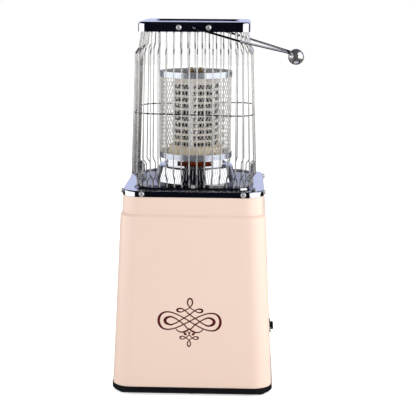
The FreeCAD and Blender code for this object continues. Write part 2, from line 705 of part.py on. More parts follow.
def make_shield():
    half = SHIELD_WIDTH / 2
    low = shield_top - SHIELD_RIM
    shield = slab(half, SHIELD_CORNER, low, shield_top)
    inner_corner = SHIELD_CORNER - SHIELD_SHEET
    hollow = slab(half - SHIELD_SHEET, inner_corner, low - MARGIN, shield_top - SHIELD_SHEET)
    shield = shield.cut(hollow)
    holes = []
    for x in (-STUD_SPAN / 2, STUD_SPAN / 2):
        holes.append(cylinder(STUD_RADIUS + FIT_GAP, low, shield_top + MARGIN, x, 0))
    save("heat_shield", shield.cut(holes))

    spacers = []
    for x in (-SPACER_SPAN / 2, SPACER_SPAN / 2):
        for y in (-SPACER_SPAN / 2, SPACER_SPAN / 2):
            tube = cylinder(SPACER_RADIUS, shield_top, shield_top + SHIELD_DROP, x, y)
            bore = cylinder(SPACER_BORE, shield_top, shield_top + SHIELD_DROP, x, y)
            spacers.append(tube.cut(bore))
    save("shield_spacers", *spacers)

    under = shield_top - SHIELD_SHEET
    body = cylinder(CUTOUT_RADIUS, under - CUTOUT_HEIGHT, under, CUTOUT_OFFSET, 0)
    for side in (-1, 1):
        y = side * CUTOUT_RADIUS / 2
        blade_low = under - CUTOUT_HEIGHT - BLADE_LENGTH
        blade_high = under - CUTOUT_HEIGHT / 2
        body = body.fuse(box(BLADE_WIDTH, BLADE_THICKNESS, blade_low, blade_high, CUTOUT_OFFSET, y))
    save("thermal_cutout", body)


def cage_levels():
    """Height, width and spacing share of the wires at each bend, from the foot up."""
    joggle = cage_bottom + JOGGLE_HEIGHT
    shoulder = cage_top - SHOULDER_DROP
    return [
        (cage_bottom, CAGE_FOOT_WIDTH, CAGE_FOOT_SPREAD),
        (joggle, CAGE_FOOT_WIDTH, CAGE_FOOT_SPREAD),
        (joggle + JOGGLE_RISE, CAGE_WIDTH, 1.0),
        (shoulder - SHOULDER_RISE, CAGE_SHOULDER_WIDTH, 1.0),
        (shoulder, CAGE_NECK_WIDTH, CAGE_TOP_SPREAD),
        (cage_top, CAGE_TOP_WIDTH, CAGE_TOP_SPREAD),
    ]


def cage_outline(z):
    """Half width and half length of the flat sides, between wire centre lines, at a height."""
    flat = CAGE_WIDTH / 2 - CAGE_CORNER
    levels = cage_levels()
    for (low, low_width, low_spread), (high, high_width, high_spread) in zip(levels, levels[1:]):
        if low <= z <= high:
            share = (z - low) / (high - low)
            half = (low_width + share * (high_width - low_width)) / 2
            return half, flat * (low_spread + share * (high_spread - low_spread))


def cage_point(place, z):
    """Point of the cage at a height; place is taken along the widest outline from the front's middle."""
    half, flat = cage_outline(z)
    widest = CAGE_WIDTH / 2 - CAGE_CORNER
    if abs(place) <= widest:
        return V(place * flat / widest, -half, z)
    angle = (abs(place) - widest) / CAGE_CORNER
    corner = half - flat
    return V(math.copysign(flat + corner * math.sin(angle), place), -flat - corner * math.cos(angle), z)


def ring_inset(z, radius):
    """Distance from the wires' centre lines in to a ring welded inside them."""
    slope = (cage_outline(z + radius)[0] - cage_outline(z)[0]) / radius
    return (polygon_reach(WIRE_RADIUS, WIRE_FACES) + radius + WELD_GAP) * math.hypot(1, slope)


def cage_ring(z, radius):
    """Wire ring welded to the inside of the upright wires."""
    half, flat = cage_outline(z)
    inset = ring_inset(z, radius)
    return wire_loop(half - inset, half - flat - inset, z, radius)


def base_ring_z():
    return cage_bottom + RING_RADIUS


def clip_lines():
    """Distances from the axis of a clip's inner edge, knee and screw."""
    ring_line = cage_outline(base_ring_z())[0] - ring_inset(base_ring_z(), RING_RADIUS)
    knee = ring_line + RING_RADIUS + WELD_GAP
    screw_line = knee + CLIP_SHEET + FIT_GAP + CLIP_HEAD_RADIUS
    return ring_line - CLIP_REACH, knee, screw_line


def clip_spots():
    """Points on the plateau under the clip screws, in the order front, right, back, left."""
    reach = clip_lines()[2]
    turns = [FreeCAD.Rotation(UP, 90 * quarters) for quarters in range(4)]
    return [turn.multVec(V(0, -reach, plateau_top)) for turn in turns]


def make_cage():
    half_side = 2 * (CAGE_WIDTH / 2 - CAGE_CORNER) + CAGE_CORNER * math.pi / 2
    pitch = half_side / WIRES_PER_SIDE
    wires = []
    for index in range(WIRES_PER_SIDE):
        place = (index + 1 - WIRES_PER_SIDE / 2) * pitch
        path = [cage_point(place, level[0]) for level in cage_levels()]
        wires.append(kinked_rod(path, WIRE_RADIUS, WIRE_FACES))
    for quarters, name in enumerate(("front", "right", "back", "left")):
        save("cage_wires_" + name, *[quarter_turned(wire, quarters) for wire in wires])
    save("cage_base_ring", cage_ring(base_ring_z(), RING_RADIUS))
    save("cage_waist_ring", cage_ring(cage_bottom + WAIST_HEIGHT, RING_RADIUS))
    save("cage_top_ring", cage_ring(cage_top - TOP_RING_DROP, TOP_RING_RADIUS))


def make_clips():
    inner, knee, screw_line = clip_lines()
    outer = screw_line + CLIP_HEAD_RADIUS
    over = base_ring_z() + RING_RADIUS + WELD_GAP
    outline = [
        V(0, -inner, over), V(0, -knee, over), V(0, -knee, plateau_top), V(0, -outer, plateau_top),
        V(0, -outer, plateau_top + CLIP_SHEET), V(0, -knee - CLIP_SHEET, plateau_top + CLIP_SHEET),
        V(0, -knee - CLIP_SHEET, over + CLIP_SHEET), V(0, -inner, over + CLIP_SHEET),
    ]
    clip = Part.Face(Part.makePolygon(outline + outline[:1])).extrude(V(CLIP_WIDTH, 0, 0))
    clip.translate(V(-CLIP_WIDTH / 2, 0, 0))
    spot = clip_spots()[0]
    clip = clip.cut(cylinder(CLIP_SCREW_RADIUS + FIT_GAP, plateau_top, over, spot.x, spot.y))
    bolt = screw(CLIP_HEAD_RADIUS, CLIP_SCREW_RADIUS, SCREW_LENGTH)
    bolt = aimed(bolt, spot + V(0, 0, CLIP_SHEET), UP)
    save("cage_clips", *[quarter_turned(clip, quarters) for quarters in range(4)])
    save("clip_screws", *[quarter_turned(bolt, quarters) for quarters in range(4)])


def make_cap():
    cap = pressed_pan(CAP_WIDTH, CAP_CORNER, CAP_RIM, CAP_SHEET, CAP_EDGE, CAP_PANEL_WIDTH,
                      CAP_PANEL_CORNER, -CAP_PANEL_DEPTH, cap_top)
    plate_out = cap_half - CAP_SHEET - WELD_GAP
    plate_height = CAP_RIM - 2 * CAP_EDGE
    corner = V(-PIVOT_PLATE_WIDTH / 2, -plate_out, pivot_z - plate_height / 2)
    plate = Part.makeBox(PIVOT_PLATE_WIDTH, PIVOT_PLATE_SHEET, plate_height, corner)
    pin = cylinder(SCREW_RADIUS + FIT_GAP, -PIVOT_INSIDE, SCREW_LENGTH)
    pivot = cylinder(ARM_RADIUS + FIT_GAP, -PIVOT_INSIDE, SCREW_LENGTH)
    front = V(0, -1, 0)
    bolt = screw(SCREW_HEAD_RADIUS, SCREW_RADIUS, CAP_SCREW_LENGTH)
    holes = [aimed(pivot, V(0, -cap_half, pivot_z), front)]
    bolts = []
    for x in (-CAP_SCREW_SPAN / 2, CAP_SCREW_SPAN / 2):
        holes.append(aimed(pin, V(x, -cap_half, pivot_z), front))
        bolts.append(aimed(bolt, V(x, -cap_half, pivot_z), front))
    both = holes + [quarter_turned(hole, 2) for hole in holes]
    plate = plate.cut(holes)
    save("top_cap", cap.cut(both))
    save("pivot_plates", plate, quarter_turned(plate, 2))
    save("cap_screws", *(bolts + [quarter_turned(bolt, 2) for bolt in bolts]))


def make_handle():
    lie = FreeCAD.Placement(V(0, 0, pivot_z), FreeCAD.Rotation(V(0, 1, 0), HANDLE_TILT))
    pivot_end = cap_half - PIVOT_INSIDE
    end = BALL_AT - BALL_RADIUS + BALL_SOCKET
    caps = []
    for side, name in ((-1, "front"), (1, "back")):
        points = [
            V(0, side * pivot_end, 0), V(0, side * arm_y, 0), V(ARM_BEND_AT, side * arm_y, 0),
            V(ARM_JOIN_AT, side * ARM_JOIN_OFFSET, 0), V(end, side * ARM_JOIN_OFFSET, 0),
        ]
        bends = [PIVOT_BEND_RADIUS, ARM_BEND_RADIUS, ARM_BEND_RADIUS]
        save("handle_arm_" + name, placed(bent_rod(points, bends, ARM_RADIUS), lie))
        button = Part.makeCylinder(PIVOT_CAP_RADIUS, PIVOT_CAP_THICKNESS, V(0, 0, 0), V(0, side, 0))
        bore = Part.makeCylinder(ARM_RADIUS + WELD_GAP, PIVOT_CAP_THICKNESS, V(0, 0, 0), V(0, side, 0))
        button = button.cut(bore)
        button.translate(V(0, side * pivot_end, 0))
        caps.append(placed(button, lie))
    save("pivot_caps", *caps)
    ball = Part.makeSphere(BALL_RADIUS, V(BALL_AT, 0, 0))
    for side in (-1, 1):
        mouth = V(BALL_AT - 2 * BALL_RADIUS, side * ARM_JOIN_OFFSET, 0)
        depth = end - mouth.x + WELD_GAP
        ball = ball.cut(Part.makeCylinder(ARM_RADIUS + WELD_GAP, depth, mouth, V(1, 0, 0)))
    save("handle_ball", placed(ball, lie))


def make_switch():
    here = shell_face(0, SWITCH_HEIGHT)
    case_length = SWITCH_LENGTH - 2 * SWITCH_BEZEL
    case_width = SWITCH_WIDTH - 2 * SWITCH_BEZEL
    rocker_width = case_width - 2 * SWITCH_WALL
    axis = V(0, 0, -ROCKER_AXIS_DEPTH)
    across = V(0, 1, 0)

    def axle(radius, length):
        return Part.makeCylinder(radius, length, axis - across * (length / 2), across)
    housing = box(SWITCH_LENGTH, SWITCH_WIDTH, 0, SWITCH_BEZEL)
    housing = housing.fuse(box(case_length, case_width, -SWITCH_DEPTH, SWITCH_BEZEL / 2))
    pocket_width = rocker_width + 2 * ROCKER_GAP
    pocket = box(2 * (ROCKER_RADIUS + ROCKER_GAP), pocket_width, -SWITCH_POCKET, SWITCH_BEZEL + MARGIN)
    axle_room = case_width - SWITCH_WALL / 2
    sockets = axle(ROCKER_PIN_RADIUS + ROCKER_PIN_GAP, axle_room)
    save("switch_housing", placed(housing.cut([pocket, sockets]).removeSplitter(), here))

    reach = ROCKER_RADIUS
    keel = ROCKER_AXIS_DEPTH + 2 * ROCKER_PIN_RADIUS
    outline = [
        V(-reach, 0, 0), V(-reach, 0, ROCKER_RISE), V(0, 0, ROCKER_DIP), V(reach, 0, ROCKER_RISE),
        V(reach, 0, 0), V(reach / 3, 0, -keel), V(-reach / 3, 0, -keel),
    ]
    rocker = Part.Face(Part.makePolygon(outline + outline[:1])).extrude(across * rocker_width)
    rocker.translate(across * (-rocker_width / 2))
    rocker = rocker.common(axle(ROCKER_RADIUS, rocker_width))
    rocker = rocker.fuse(axle(ROCKER_PIN_RADIUS, axle_room - 2 * FIT_GAP))
    rocker.rotate(axis, across, -ROCKER_TILT)
    save("switch_rocker", placed(rocker, here))

    blades = []
    for step in (-1, 0, 1):
        low = -SWITCH_DEPTH - BLADE_LENGTH
        blade = box(BLADE_THICKNESS, BLADE_WIDTH, low, -SWITCH_DEPTH, step * SWITCH_BLADE_PITCH, 0)
        blades.append(placed(blade, here))
    save("switch_blades", *blades)


def make_gland():
    flange = cylinder(GLAND_FLANGE_RADIUS, 0, GLAND_FLANGE)
    barrel = cylinder(GLAND_RADIUS, GLAND_FLANGE - GLAND_LENGTH, GLAND_FLANGE / 2)
    bore = cylinder(GLAND_BORE, -GLAND_LENGTH, GLAND_LENGTH)
    save("cord_gland", placed(flange.fuse(barrel).cut(bore), shell_face(1, GLAND_HEIGHT)))


def make_wiring_base():
    high = tray_floor + BLOCK_HEIGHT
    block = box(BLOCK_LENGTH, BLOCK_WIDTH, tray_floor, high, BLOCK_OFFSET_X, BLOCK_OFFSET_Y)
    way_z = tray_floor + BLOCK_HEIGHT / 2
    pitch = BLOCK_LENGTH / BLOCK_WAYS
    cuts = []
    screws = []
    for way in range(BLOCK_WAYS):
        x = BLOCK_OFFSET_X + (way - (BLOCK_WAYS - 1) / 2) * pitch
        start = V(x, BLOCK_OFFSET_Y - BLOCK_WIDTH / 2, way_z)
        cuts.append(Part.makeCylinder(BLOCK_BORE, BLOCK_WIDTH, start, V(0, 1, 0)))
        for y in (BLOCK_OFFSET_Y - BLOCK_WIDTH / 4, BLOCK_OFFSET_Y + BLOCK_WIDTH / 4):
            cuts.append(cylinder(BLOCK_SCREW_RADIUS + FIT_GAP, way_z, high, x, y))
            screws.append(cylinder(BLOCK_SCREW_RADIUS, way_z + BLOCK_BORE / 2, high - SEAT_GAP, x, y))
    save("terminal_block", block.cut(cuts))
    save("block_screws", *screws)

    case = box(TIP_LENGTH, TIP_WIDTH, tray_floor, tray_floor + TIP_HEIGHT, TIP_OFFSET_X, TIP_OFFSET_Y)
    collar_low = tray_floor + SEAT_GAP + PLUNGER_TRAVEL
    collar_high = collar_low + PLUNGER_COLLAR_HEIGHT
    stem_top = collar_high + PLUNGER_TRAVEL
    spot = (TIP_OFFSET_X, TIP_OFFSET_Y)
    chamber = cylinder(PLUNGER_COLLAR + SEAT_GAP, tray_floor - MARGIN, collar_high + SEAT_GAP, *spot)
    guide = cylinder(PLUNGER_RADIUS + FIT_GAP, tray_floor, stem_top + SEAT_GAP, *spot)
    save("tipover_switch", case.cut([chamber, guide]))
    plunger = cylinder(PLUNGER_RADIUS, PLUNGER_LIFT, stem_top, *spot)
    save("tipover_plunger", plunger.fuse(cylinder(PLUNGER_COLLAR, collar_low, collar_high, *spot)))


os.makedirs("parts", exist_ok=True)
make_base()
make_shell()
make_deck()
make_pedestal()
make_stand()
make_guard()
make_core()
make_shield()
make_cage()
make_clips()
make_cap()
make_handle()
make_switch()
make_gland()
make_wiring_base()
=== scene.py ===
# %% [markdown]
# # A ceramic heater in a wire cage
# The heater stands on a tapered, enamelled base. A chromed deck carries a slotted ceramic core, a mesh
# guard and a cage of sixty bent wires, and a chromed cap closes the cage. The solids come from the frame,
# with every piece in its place; this lesson gives them their finishes and the detail that is finer than
# the solids have. All lengths are in metres.

import json
import math

import bmesh
import bpy
from mathutils import Matrix, Vector


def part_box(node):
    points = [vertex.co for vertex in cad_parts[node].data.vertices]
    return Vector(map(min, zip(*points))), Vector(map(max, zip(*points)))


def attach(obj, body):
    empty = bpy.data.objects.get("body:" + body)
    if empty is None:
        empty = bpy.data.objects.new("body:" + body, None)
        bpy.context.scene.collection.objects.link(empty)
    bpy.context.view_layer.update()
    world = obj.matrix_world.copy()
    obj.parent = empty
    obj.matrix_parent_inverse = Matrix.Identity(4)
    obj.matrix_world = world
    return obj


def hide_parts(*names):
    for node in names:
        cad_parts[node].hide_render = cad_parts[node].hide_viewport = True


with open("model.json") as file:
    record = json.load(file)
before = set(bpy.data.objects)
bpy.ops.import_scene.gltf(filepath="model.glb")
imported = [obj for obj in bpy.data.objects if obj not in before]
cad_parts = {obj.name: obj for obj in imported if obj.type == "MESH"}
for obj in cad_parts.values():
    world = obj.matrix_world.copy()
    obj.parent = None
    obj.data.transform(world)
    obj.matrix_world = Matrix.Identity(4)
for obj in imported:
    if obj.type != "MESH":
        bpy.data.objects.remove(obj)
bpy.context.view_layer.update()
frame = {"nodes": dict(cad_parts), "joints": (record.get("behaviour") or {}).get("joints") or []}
nodes = frame["nodes"]
scene = bpy.context.scene
MM = 0.001

# %% [markdown]
# ## Camera
# The picture was taken from a little to the right and from above the cap, with a long lens. A camera can
# be aimed by hand until the edges agree, or worked out from known edges; the values below were worked out
# so that the corners of the skirt, the deck and the cap fall on the corners in the picture.

# %% Camera
IMAGE_SIZE = 416
FOCAL_PIXELS = 1183
SENSOR_WIDTH = 36.0
CAMERA_DISTANCE = 1.793
CAMERA_HEIGHT = 0.604
CAMERA_YAW = math.radians(2.68)
CAMERA_AIM = math.radians(-0.61)
CAMERA_PITCH = math.radians(10.81)
CAMERA_ROLL = math.radians(0.33)


def in_scene(name, data):
    """New object with this data, linked into the scene."""
    made = bpy.data.objects.new(name, data)
    scene.collection.objects.link(made)
    return made


def round_axis(distance, angle, height):
    """Place at a distance from the upright axis; the angle counts from the front towards the right."""
    return Vector((distance * math.sin(angle), -distance * math.cos(angle), height))


camera_data = bpy.data.cameras.new("camera")
camera_data.sensor_width = SENSOR_WIDTH
camera_data.lens = FOCAL_PIXELS / IMAGE_SIZE * SENSOR_WIDTH
camera = in_scene("camera", camera_data)
camera.location = round_axis(CAMERA_DISTANCE, CAMERA_YAW, CAMERA_HEIGHT)
turned = Matrix.Rotation(CAMERA_YAW + CAMERA_AIM, 3, "Z")
tipped = Matrix.Rotation(math.pi / 2 - CAMERA_PITCH, 3, "X")
rolled = Matrix.Rotation(CAMERA_ROLL, 3, "Z")
camera.rotation_euler = (turned @ tipped @ rolled).to_euler()
scene.camera = camera
print("lens", round(camera_data.lens, 1), "mm")

# %% [markdown]
# ## Light
# Chrome shows the room, so the room is the light. The bright bars on the pedestal and the bands say where
# the lamps stood: one tall softbox to the left and one to the right, with the dark studio between them
# behind the camera and overhead. Two area lamps make the bars and light the enamel. Two more, which chrome
# does not see, stand for the light that bounces beside them, and a small card near the right of the cap
# shows in chrome alone.

# %% Softboxes
LAMP_DISTANCE = 1.7
LAMPS_FACE = Vector((0, 0, 0.35))


def softbox(name, azimuth, height, size, power, distance=LAMP_DISTANCE, in_chrome=True, on_matt=True):
    """Area lamp facing the heater; azimuth counts in degrees from the front towards the right."""
    data = bpy.data.lights.new(name, "AREA")
    data.shape = "RECTANGLE"
    data.size, data.size_y = size
    data.energy = power
    lamp = in_scene(name, data)
    lamp.location = round_axis(distance, math.radians(azimuth), height)
    lamp.rotation_euler = (LAMPS_FACE - lamp.location).to_track_quat("-Z", "Y").to_euler()
    lamp.visible_camera = False
    lamp.visible_glossy = in_chrome
    lamp.visible_diffuse = on_matt


softbox("left_softbox", azimuth=-80, height=0.52, size=(2.85, 1.2), power=15.3)
softbox("left_bounce", azimuth=-72, height=0.58, size=(2.1, 1.32), power=2.0, in_chrome=False)
softbox("right_softbox", azimuth=72, height=0.52, size=(2.85, 1.2), power=15.3)
softbox("right_bounce", azimuth=76, height=0.58, size=(2.1, 1.32), power=13.6, in_chrome=False)
softbox("side_card", azimuth=72, height=0.79, size=(0.6, 0.36), power=0.85, distance=0.55, on_matt=False)
print("two softboxes, the light that bounces beside them, and a card")

# %% [markdown]
# Worlds, materials and geometry trees are all wired alike: a node is added and set up, and each of its
# inputs is linked or given a plain value. Four helpers do this for the whole lesson, so that a cell reads
# as what goes into what. A node and a socket know the tree they are in, by id_data.

# %% Node helpers
def feed(socket, source):
    """Link a socket from a node's first output or from another socket, or set it to a plain value."""
    if isinstance(source, bpy.types.Node):
        source = source.outputs[0]
    if isinstance(source, bpy.types.NodeSocket):
        socket.id_data.links.new(source, socket)
    else:
        socket.default_value = source


def add_node(tree, kind, setup=None, **sources):
    """Add a node, give it its own settings, then feed its inputs by name."""
    node = tree.nodes.new(kind)
    for setting, value in (setup or {}).items():
        setattr(node, setting, value)
    for name, source in sources.items():
        feed(node.inputs[name.replace("_", " ")], source)
    return node


def maths(operation, *operands):
    """Math node in the tree of its operands; each operand is a node, a socket or a number."""
    tree = next(operand.id_data for operand in operands if hasattr(operand, "id_data"))
    node = add_node(tree, "ShaderNodeMath", {"operation": operation})
    for socket, operand in zip(node.inputs, operands):
        feed(socket, operand)
    return node


def colour_mix(factor, first, second):
    """The first colour where the factor is 0, the second where it is 1."""
    node = add_node(factor.id_data, "ShaderNodeMix", {"data_type": "RGBA"}, Factor=factor, A=first, B=second)
    return node.outputs["Result"]


world = bpy.data.worlds.new("studio")
scene.world = world
world.use_nodes = True
studio = world.node_tree
studio.nodes.clear()
print("empty world:", world.name)

# %% [markdown]
# The world round the heater is white to the camera and even grey to matt surfaces. To chrome it is a dark
# room with a pale backdrop low behind, a dimmer wall above that, and pale paper straight below. A picture
# of a studio could be wrapped round the scene; a few smooth steps along the direction of a ray need no
# picture, and each can be moved by itself.

# %% World
WHITE = (1, 1, 1, 1)
DARK_ROOM = (0.004, 0.0045, 0.009, 1)
PALE_WALL = (0.60, 0.64, 0.88, 1)
UPPER_WALL_SHARE = 0.5
EVEN_LIGHT = 0.65
ray = add_node(studio, "ShaderNodeTexCoord").outputs["Generated"]
direction = add_node(studio, "ShaderNodeSeparateXYZ", Vector=ray).outputs
rays = add_node(studio, "ShaderNodeLightPath").outputs


def fade(axis, start, end):
    """Smooth step along one axis of the direction, from 0 at start to 1 at end."""
    return add_node(studio, "ShaderNodeMapRange", {"interpolation_type": "SMOOTHSTEP"},
                    Value=direction[axis], From_Min=start, From_Max=end)


def background(colour, strength):
    return add_node(studio, "ShaderNodeBackground", Color=colour, Strength=strength)


def by_ray(kind, other, own):
    """One shader for a kind of ray, another for all the rest."""
    node = add_node(studio, "ShaderNodeMixShader", Fac=rays[kind])
    feed(node.inputs[1], other)
    feed(node.inputs[2], own)
    return node


low_band = maths("MULTIPLY", fade("Z", -0.08, 0.02), fade("Z", 0.34, 0.24))
backdrop = maths("MULTIPLY", fade("Y", 0.68, 0.90), low_band)
upper_band = maths("MULTIPLY", fade("Z", 0.30, 0.38), fade("Z", 0.62, 0.52))
upper_wall = maths("MULTIPLY", fade("Y", 0.15, 0.40), upper_band)
dim_wall = maths("MULTIPLY", upper_wall, UPPER_WALL_SHARE)
walls = maths("MAXIMUM", backdrop, dim_wall)
pale = maths("MAXIMUM", walls, fade("Z", -0.88, -0.97))
room = background(colour_mix(pale, DARK_ROOM, PALE_WALL), 1.0)
lit = by_ray("Is Glossy Ray", background(WHITE, EVEN_LIGHT), room)
seen = by_ray("Is Camera Ray", lit, background(WHITE, 1.0))
add_node(studio, "ShaderNodeOutputWorld", Surface=seen)
scene.view_settings.view_transform = "Standard"
print("world with", len(studio.nodes), "nodes")

# %% [markdown]
# ## Floor
# A sheet of white paper runs out of the picture on every side. It glows a little towards the camera, so
# that it joins the white behind it, and it still takes the heater's soft shadow. Chrome looks past it into
# the dark room, as it would on a narrow table.

# %% Floor
FLOOR_HALF = 7.0
PAPER_WHITE = (0.9, 0.9, 0.9, 1)
PAPER_GLOW = 0.62


def new_material(name, **settings):
    """Material with the plain settings of its shader; the tree and the shader come with it."""
    material = bpy.data.materials.new(name)
    material.use_nodes = True
    tree = material.node_tree
    shader = tree.nodes["Principled BSDF"]
    for setting, value in settings.items():
        shader.inputs[setting.replace("_", " ")].default_value = value
    return material, tree, shader


floor_mesh = bpy.data.meshes.new("floor")
floor_corners = [(x * FLOOR_HALF, y * FLOOR_HALF, 0) for x, y in ((-1, -1), (1, -1), (1, 1), (-1, 1))]
floor_mesh.from_pydata(floor_corners, [], [(0, 1, 2, 3)])
floor = in_scene("floor", floor_mesh)
paper, tree, sheet = new_material("white_paper", Base_Color=PAPER_WHITE, Roughness=0.9,
                                  Specular_IOR_Level=0.0, Emission_Color=WHITE)
to_camera = add_node(tree, "ShaderNodeLightPath").outputs["Is Camera Ray"]
feed(sheet.inputs["Emission Strength"], maths("MULTIPLY", to_camera, PAPER_GLOW))
floor_mesh.materials.append(paper)
floor.visible_glossy = False
print("floor", 2 * FLOOR_HALF, "m square")

# %% [markdown]
# ## Finishes
# No real surface is one flat colour. Enamel pools and thins, plating takes smudges, fired clay is mottled.
# Three small node groups carry what most of these finishes share: a slow drift between two values, a drift
# of tint about a colour, and a fine grain for the bump. Each finish places them with its own numbers, and
# keeps its own shader.

# %% Shared node groups
NOISE_FROM = 0.3
NOISE_TO = 0.7


def shader_group(name, inputs, output):
    """Empty shader group with named inputs and one output; the sockets inside it come with it."""
    group = bpy.data.node_groups.new(name, "ShaderNodeTree")
    for label, kind, value in inputs:
        socket = group.interface.new_socket(label, in_out="INPUT", socket_type="NodeSocket" + kind)
        socket.default_value = value
    label, kind = output
    group.interface.new_socket(label, in_out="OUTPUT", socket_type="NodeSocket" + kind)
    given = group.nodes.new("NodeGroupInput").outputs
    result = group.nodes.new("NodeGroupOutput").inputs[label]
    return group, given, result


def object_place(tree):
    """The object's own coordinates."""
    return add_node(tree, "ShaderNodeTexCoord").outputs["Object"]


def object_noise(tree, scale, detail):
    """Noise on the object's own coordinates."""
    noise = add_node(tree, "ShaderNodeTexNoise", Vector=object_place(tree), Scale=scale, Detail=detail)
    return noise.outputs["Fac"]


def ramp(value, start, end, **ends):
    """Straight change from 0 at start to 1 at end, unless other ends are given."""
    return add_node(value.id_data, "ShaderNodeMapRange", Value=value, From_Min=start, From_Max=end, **ends)


drift, given, result = shader_group(
    "slow_drift", [("Scale", "Float", 30.0), ("Low", "Float", 0.2), ("High", "Float", 0.4)],
    ("Value", "Float"))
noise = object_noise(drift, given["Scale"], detail=4.0)
feed(result, ramp(noise, NOISE_FROM, NOISE_TO, To_Min=given["Low"], To_Max=given["High"]))

tint, given, result = shader_group(
    "tint_drift", [("Scale", "Float", 30.0), ("Light", "Color", WHITE), ("Dark", "Color", (0, 0, 0, 1))],
    ("Color", "Color"))
share = ramp(object_noise(tint, given["Scale"], detail=5.0), NOISE_FROM, NOISE_TO)
feed(result, colour_mix(share, given["Light"], given["Dark"]))

grain, given, result = shader_group("fine_grain", [("Scale", "Float", 900.0)], ("Height", "Float"))
feed(result, object_noise(grain, given["Scale"], detail=2.0))
print("groups:", drift.name, tint.name, grain.name)

# %% [markdown]
# One function builds a finish: two tints to drift between, a range of roughness, a grain of a certain size
# and depth, and any plain settings of the shader. The cap, the pedestal, the stand and the deck are polished
# and chromed, so chrome is the first. The deck has its own copy, because it gets a feature of its own.

# %% Finish builder
MICRON = 0.001 * MM


def placed_group(tree, group, **sources):
    return add_node(tree, "ShaderNodeGroup", {"node_tree": group}, **sources)


def drifting_tint(tree, scale, light, dark):
    return placed_group(tree, tint, Scale=scale, Light=(*light, 1), Dark=(*dark, 1))


def finish(name, light, dark, rough, scales, microns, **settings):
    """Material whose colour and roughness drift, with a fine grain so many microns deep.

    The scales are those of the tint, the roughness and the grain.
    """
    material, tree, shader = new_material(name, **settings)
    tint_scale, rough_scale, grain_scale = scales
    feed(shader.inputs["Base Color"], drifting_tint(tree, tint_scale, light, dark))
    gloss = placed_group(tree, drift, Scale=rough_scale, Low=rough[0], High=rough[1])
    feed(shader.inputs["Roughness"], gloss)
    height = placed_group(tree, grain, Scale=grain_scale)
    bump = add_node(tree, "ShaderNodeBump", Strength=1.0, Distance=microns * MICRON, Height=height)
    feed(shader.inputs["Normal"], bump)
    return material


CHROME_LOOK = dict(light=(0.80, 0.81, 0.84), dark=(0.74, 0.75, 0.79), rough=(0.025, 0.09),
                   scales=(20, 30, 120), microns=3, Metallic=1.0)
chrome = finish("bright_chrome", **CHROME_LOOK)
deck_chrome = finish("deck_chrome", **CHROME_LOOK)
print("built", chrome.name, "and", deck_chrome.name)

# %% [markdown]
# The other metals keep a wider gloss: plated wire, galvanised mesh, nickel on the screws, zinc inside. Where
# dust and fine scratches scatter the light, the metal is made a little less metallic.

# %% Metal finishes
wire_plate = finish("plated_wire", (0.95, 0.935, 0.91), (0.86, 0.845, 0.82), rough=(0.08, 0.14),
                    scales=(60, 80, 2500), microns=1, Metallic=1.0)
ring_plate = finish("dull_ring", (0.42, 0.41, 0.40), (0.30, 0.29, 0.28), rough=(0.14, 0.22),
                    scales=(60, 80, 2500), microns=1, Metallic=1.0)
mesh_plate = finish("galvanised_mesh", (0.93, 0.92, 0.89), (0.80, 0.78, 0.74), rough=(0.22, 0.36),
                    scales=(120, 200, 3000), microns=10, Metallic=0.80)
screw_plate = finish("nickel_plate", (0.88, 0.88, 0.89), (0.78, 0.78, 0.79), rough=(0.25, 0.36),
                     scales=(300, 500, 2500), microns=5, Metallic=0.65)
ball_plate = finish("polished_ball", (0.82, 0.81, 0.80), (0.70, 0.69, 0.68), rough=(0.06, 0.14),
                    scales=(60, 60, 900), microns=4, Metallic=0.88)
arm_plate = finish("dark_chrome", (0.42, 0.42, 0.46), (0.32, 0.32, 0.36), rough=(0.05, 0.12),
                   scales=(40, 60, 900), microns=3, Metallic=1.0)
zinc = finish("zinc_sheet", (0.60, 0.61, 0.63), (0.45, 0.46, 0.48), rough=(0.30, 0.50),
              scales=(90, 60, 900), microns=10, Metallic=1.0)
band_plate = finish("satin_band", (0.80, 0.84, 0.92), (0.70, 0.75, 0.85), rough=(0.15, 0.24),
                    scales=(50, 90, 400), microns=8, Metallic=0.80)
brass = finish("turned_brass", (0.56, 0.43, 0.21), (0.36, 0.26, 0.11), rough=(0.18, 0.35),
               scales=(250, 300, 2500), microns=6, Metallic=1.0)
print("materials so far:", len(bpy.data.materials))

# %% [markdown]
# Enamel, clay, rubber and mouldings have no metal in them. Enamel is even and fairly glossy. Fired clay has
# the deepest grain and hardly any gloss. The black mouldings get a low specular level, so that they stay
# black beside the chrome.

# %% Other finishes
enamel = finish("peach_enamel", (0.871, 0.675, 0.570), (0.865, 0.667, 0.563), rough=(0.29, 0.33),
                scales=(9, 25, 700), microns=30, Specular_IOR_Level=0.45)
clay = finish("fired_clay", (0.94, 0.87, 0.81), (0.86, 0.77, 0.70), rough=(0.75, 0.92),
              scales=(140, 90, 1800), microns=120)
disc_clay = finish("terminal_clay", (0.52, 0.49, 0.45), (0.38, 0.36, 0.33), rough=(0.75, 0.92),
                   scales=(140, 90, 1800), microns=100)
red_clay = finish("red_refractory", (0.50, 0.085, 0.010), (0.30, 0.045, 0.008), rough=(0.55, 0.8),
                  scales=(160, 120, 1500), microns=120)
carbide = finish("dark_element", (0.10, 0.09, 0.085), (0.05, 0.045, 0.045), rough=(0.6, 0.85),
                 scales=(200, 150, 1500), microns=80)
rubber = finish("foot_rubber", (0.022, 0.022, 0.022), (0.035, 0.034, 0.033), rough=(0.7, 0.9),
                scales=(120, 100, 1600), microns=80)
black_plastic = finish("black_moulding", (0.005, 0.005, 0.007), (0.009, 0.009, 0.011), rough=(0.34, 0.5),
                       scales=(40, 60, 2200), microns=40, Specular_IOR_Level=0.3)
switch_plastic = finish("switch_moulding", (0.006, 0.006, 0.007), (0.010, 0.010, 0.011), rough=(0.40, 0.52),
                        scales=(80, 120, 2600), microns=20, Specular_IOR_Level=0.15)
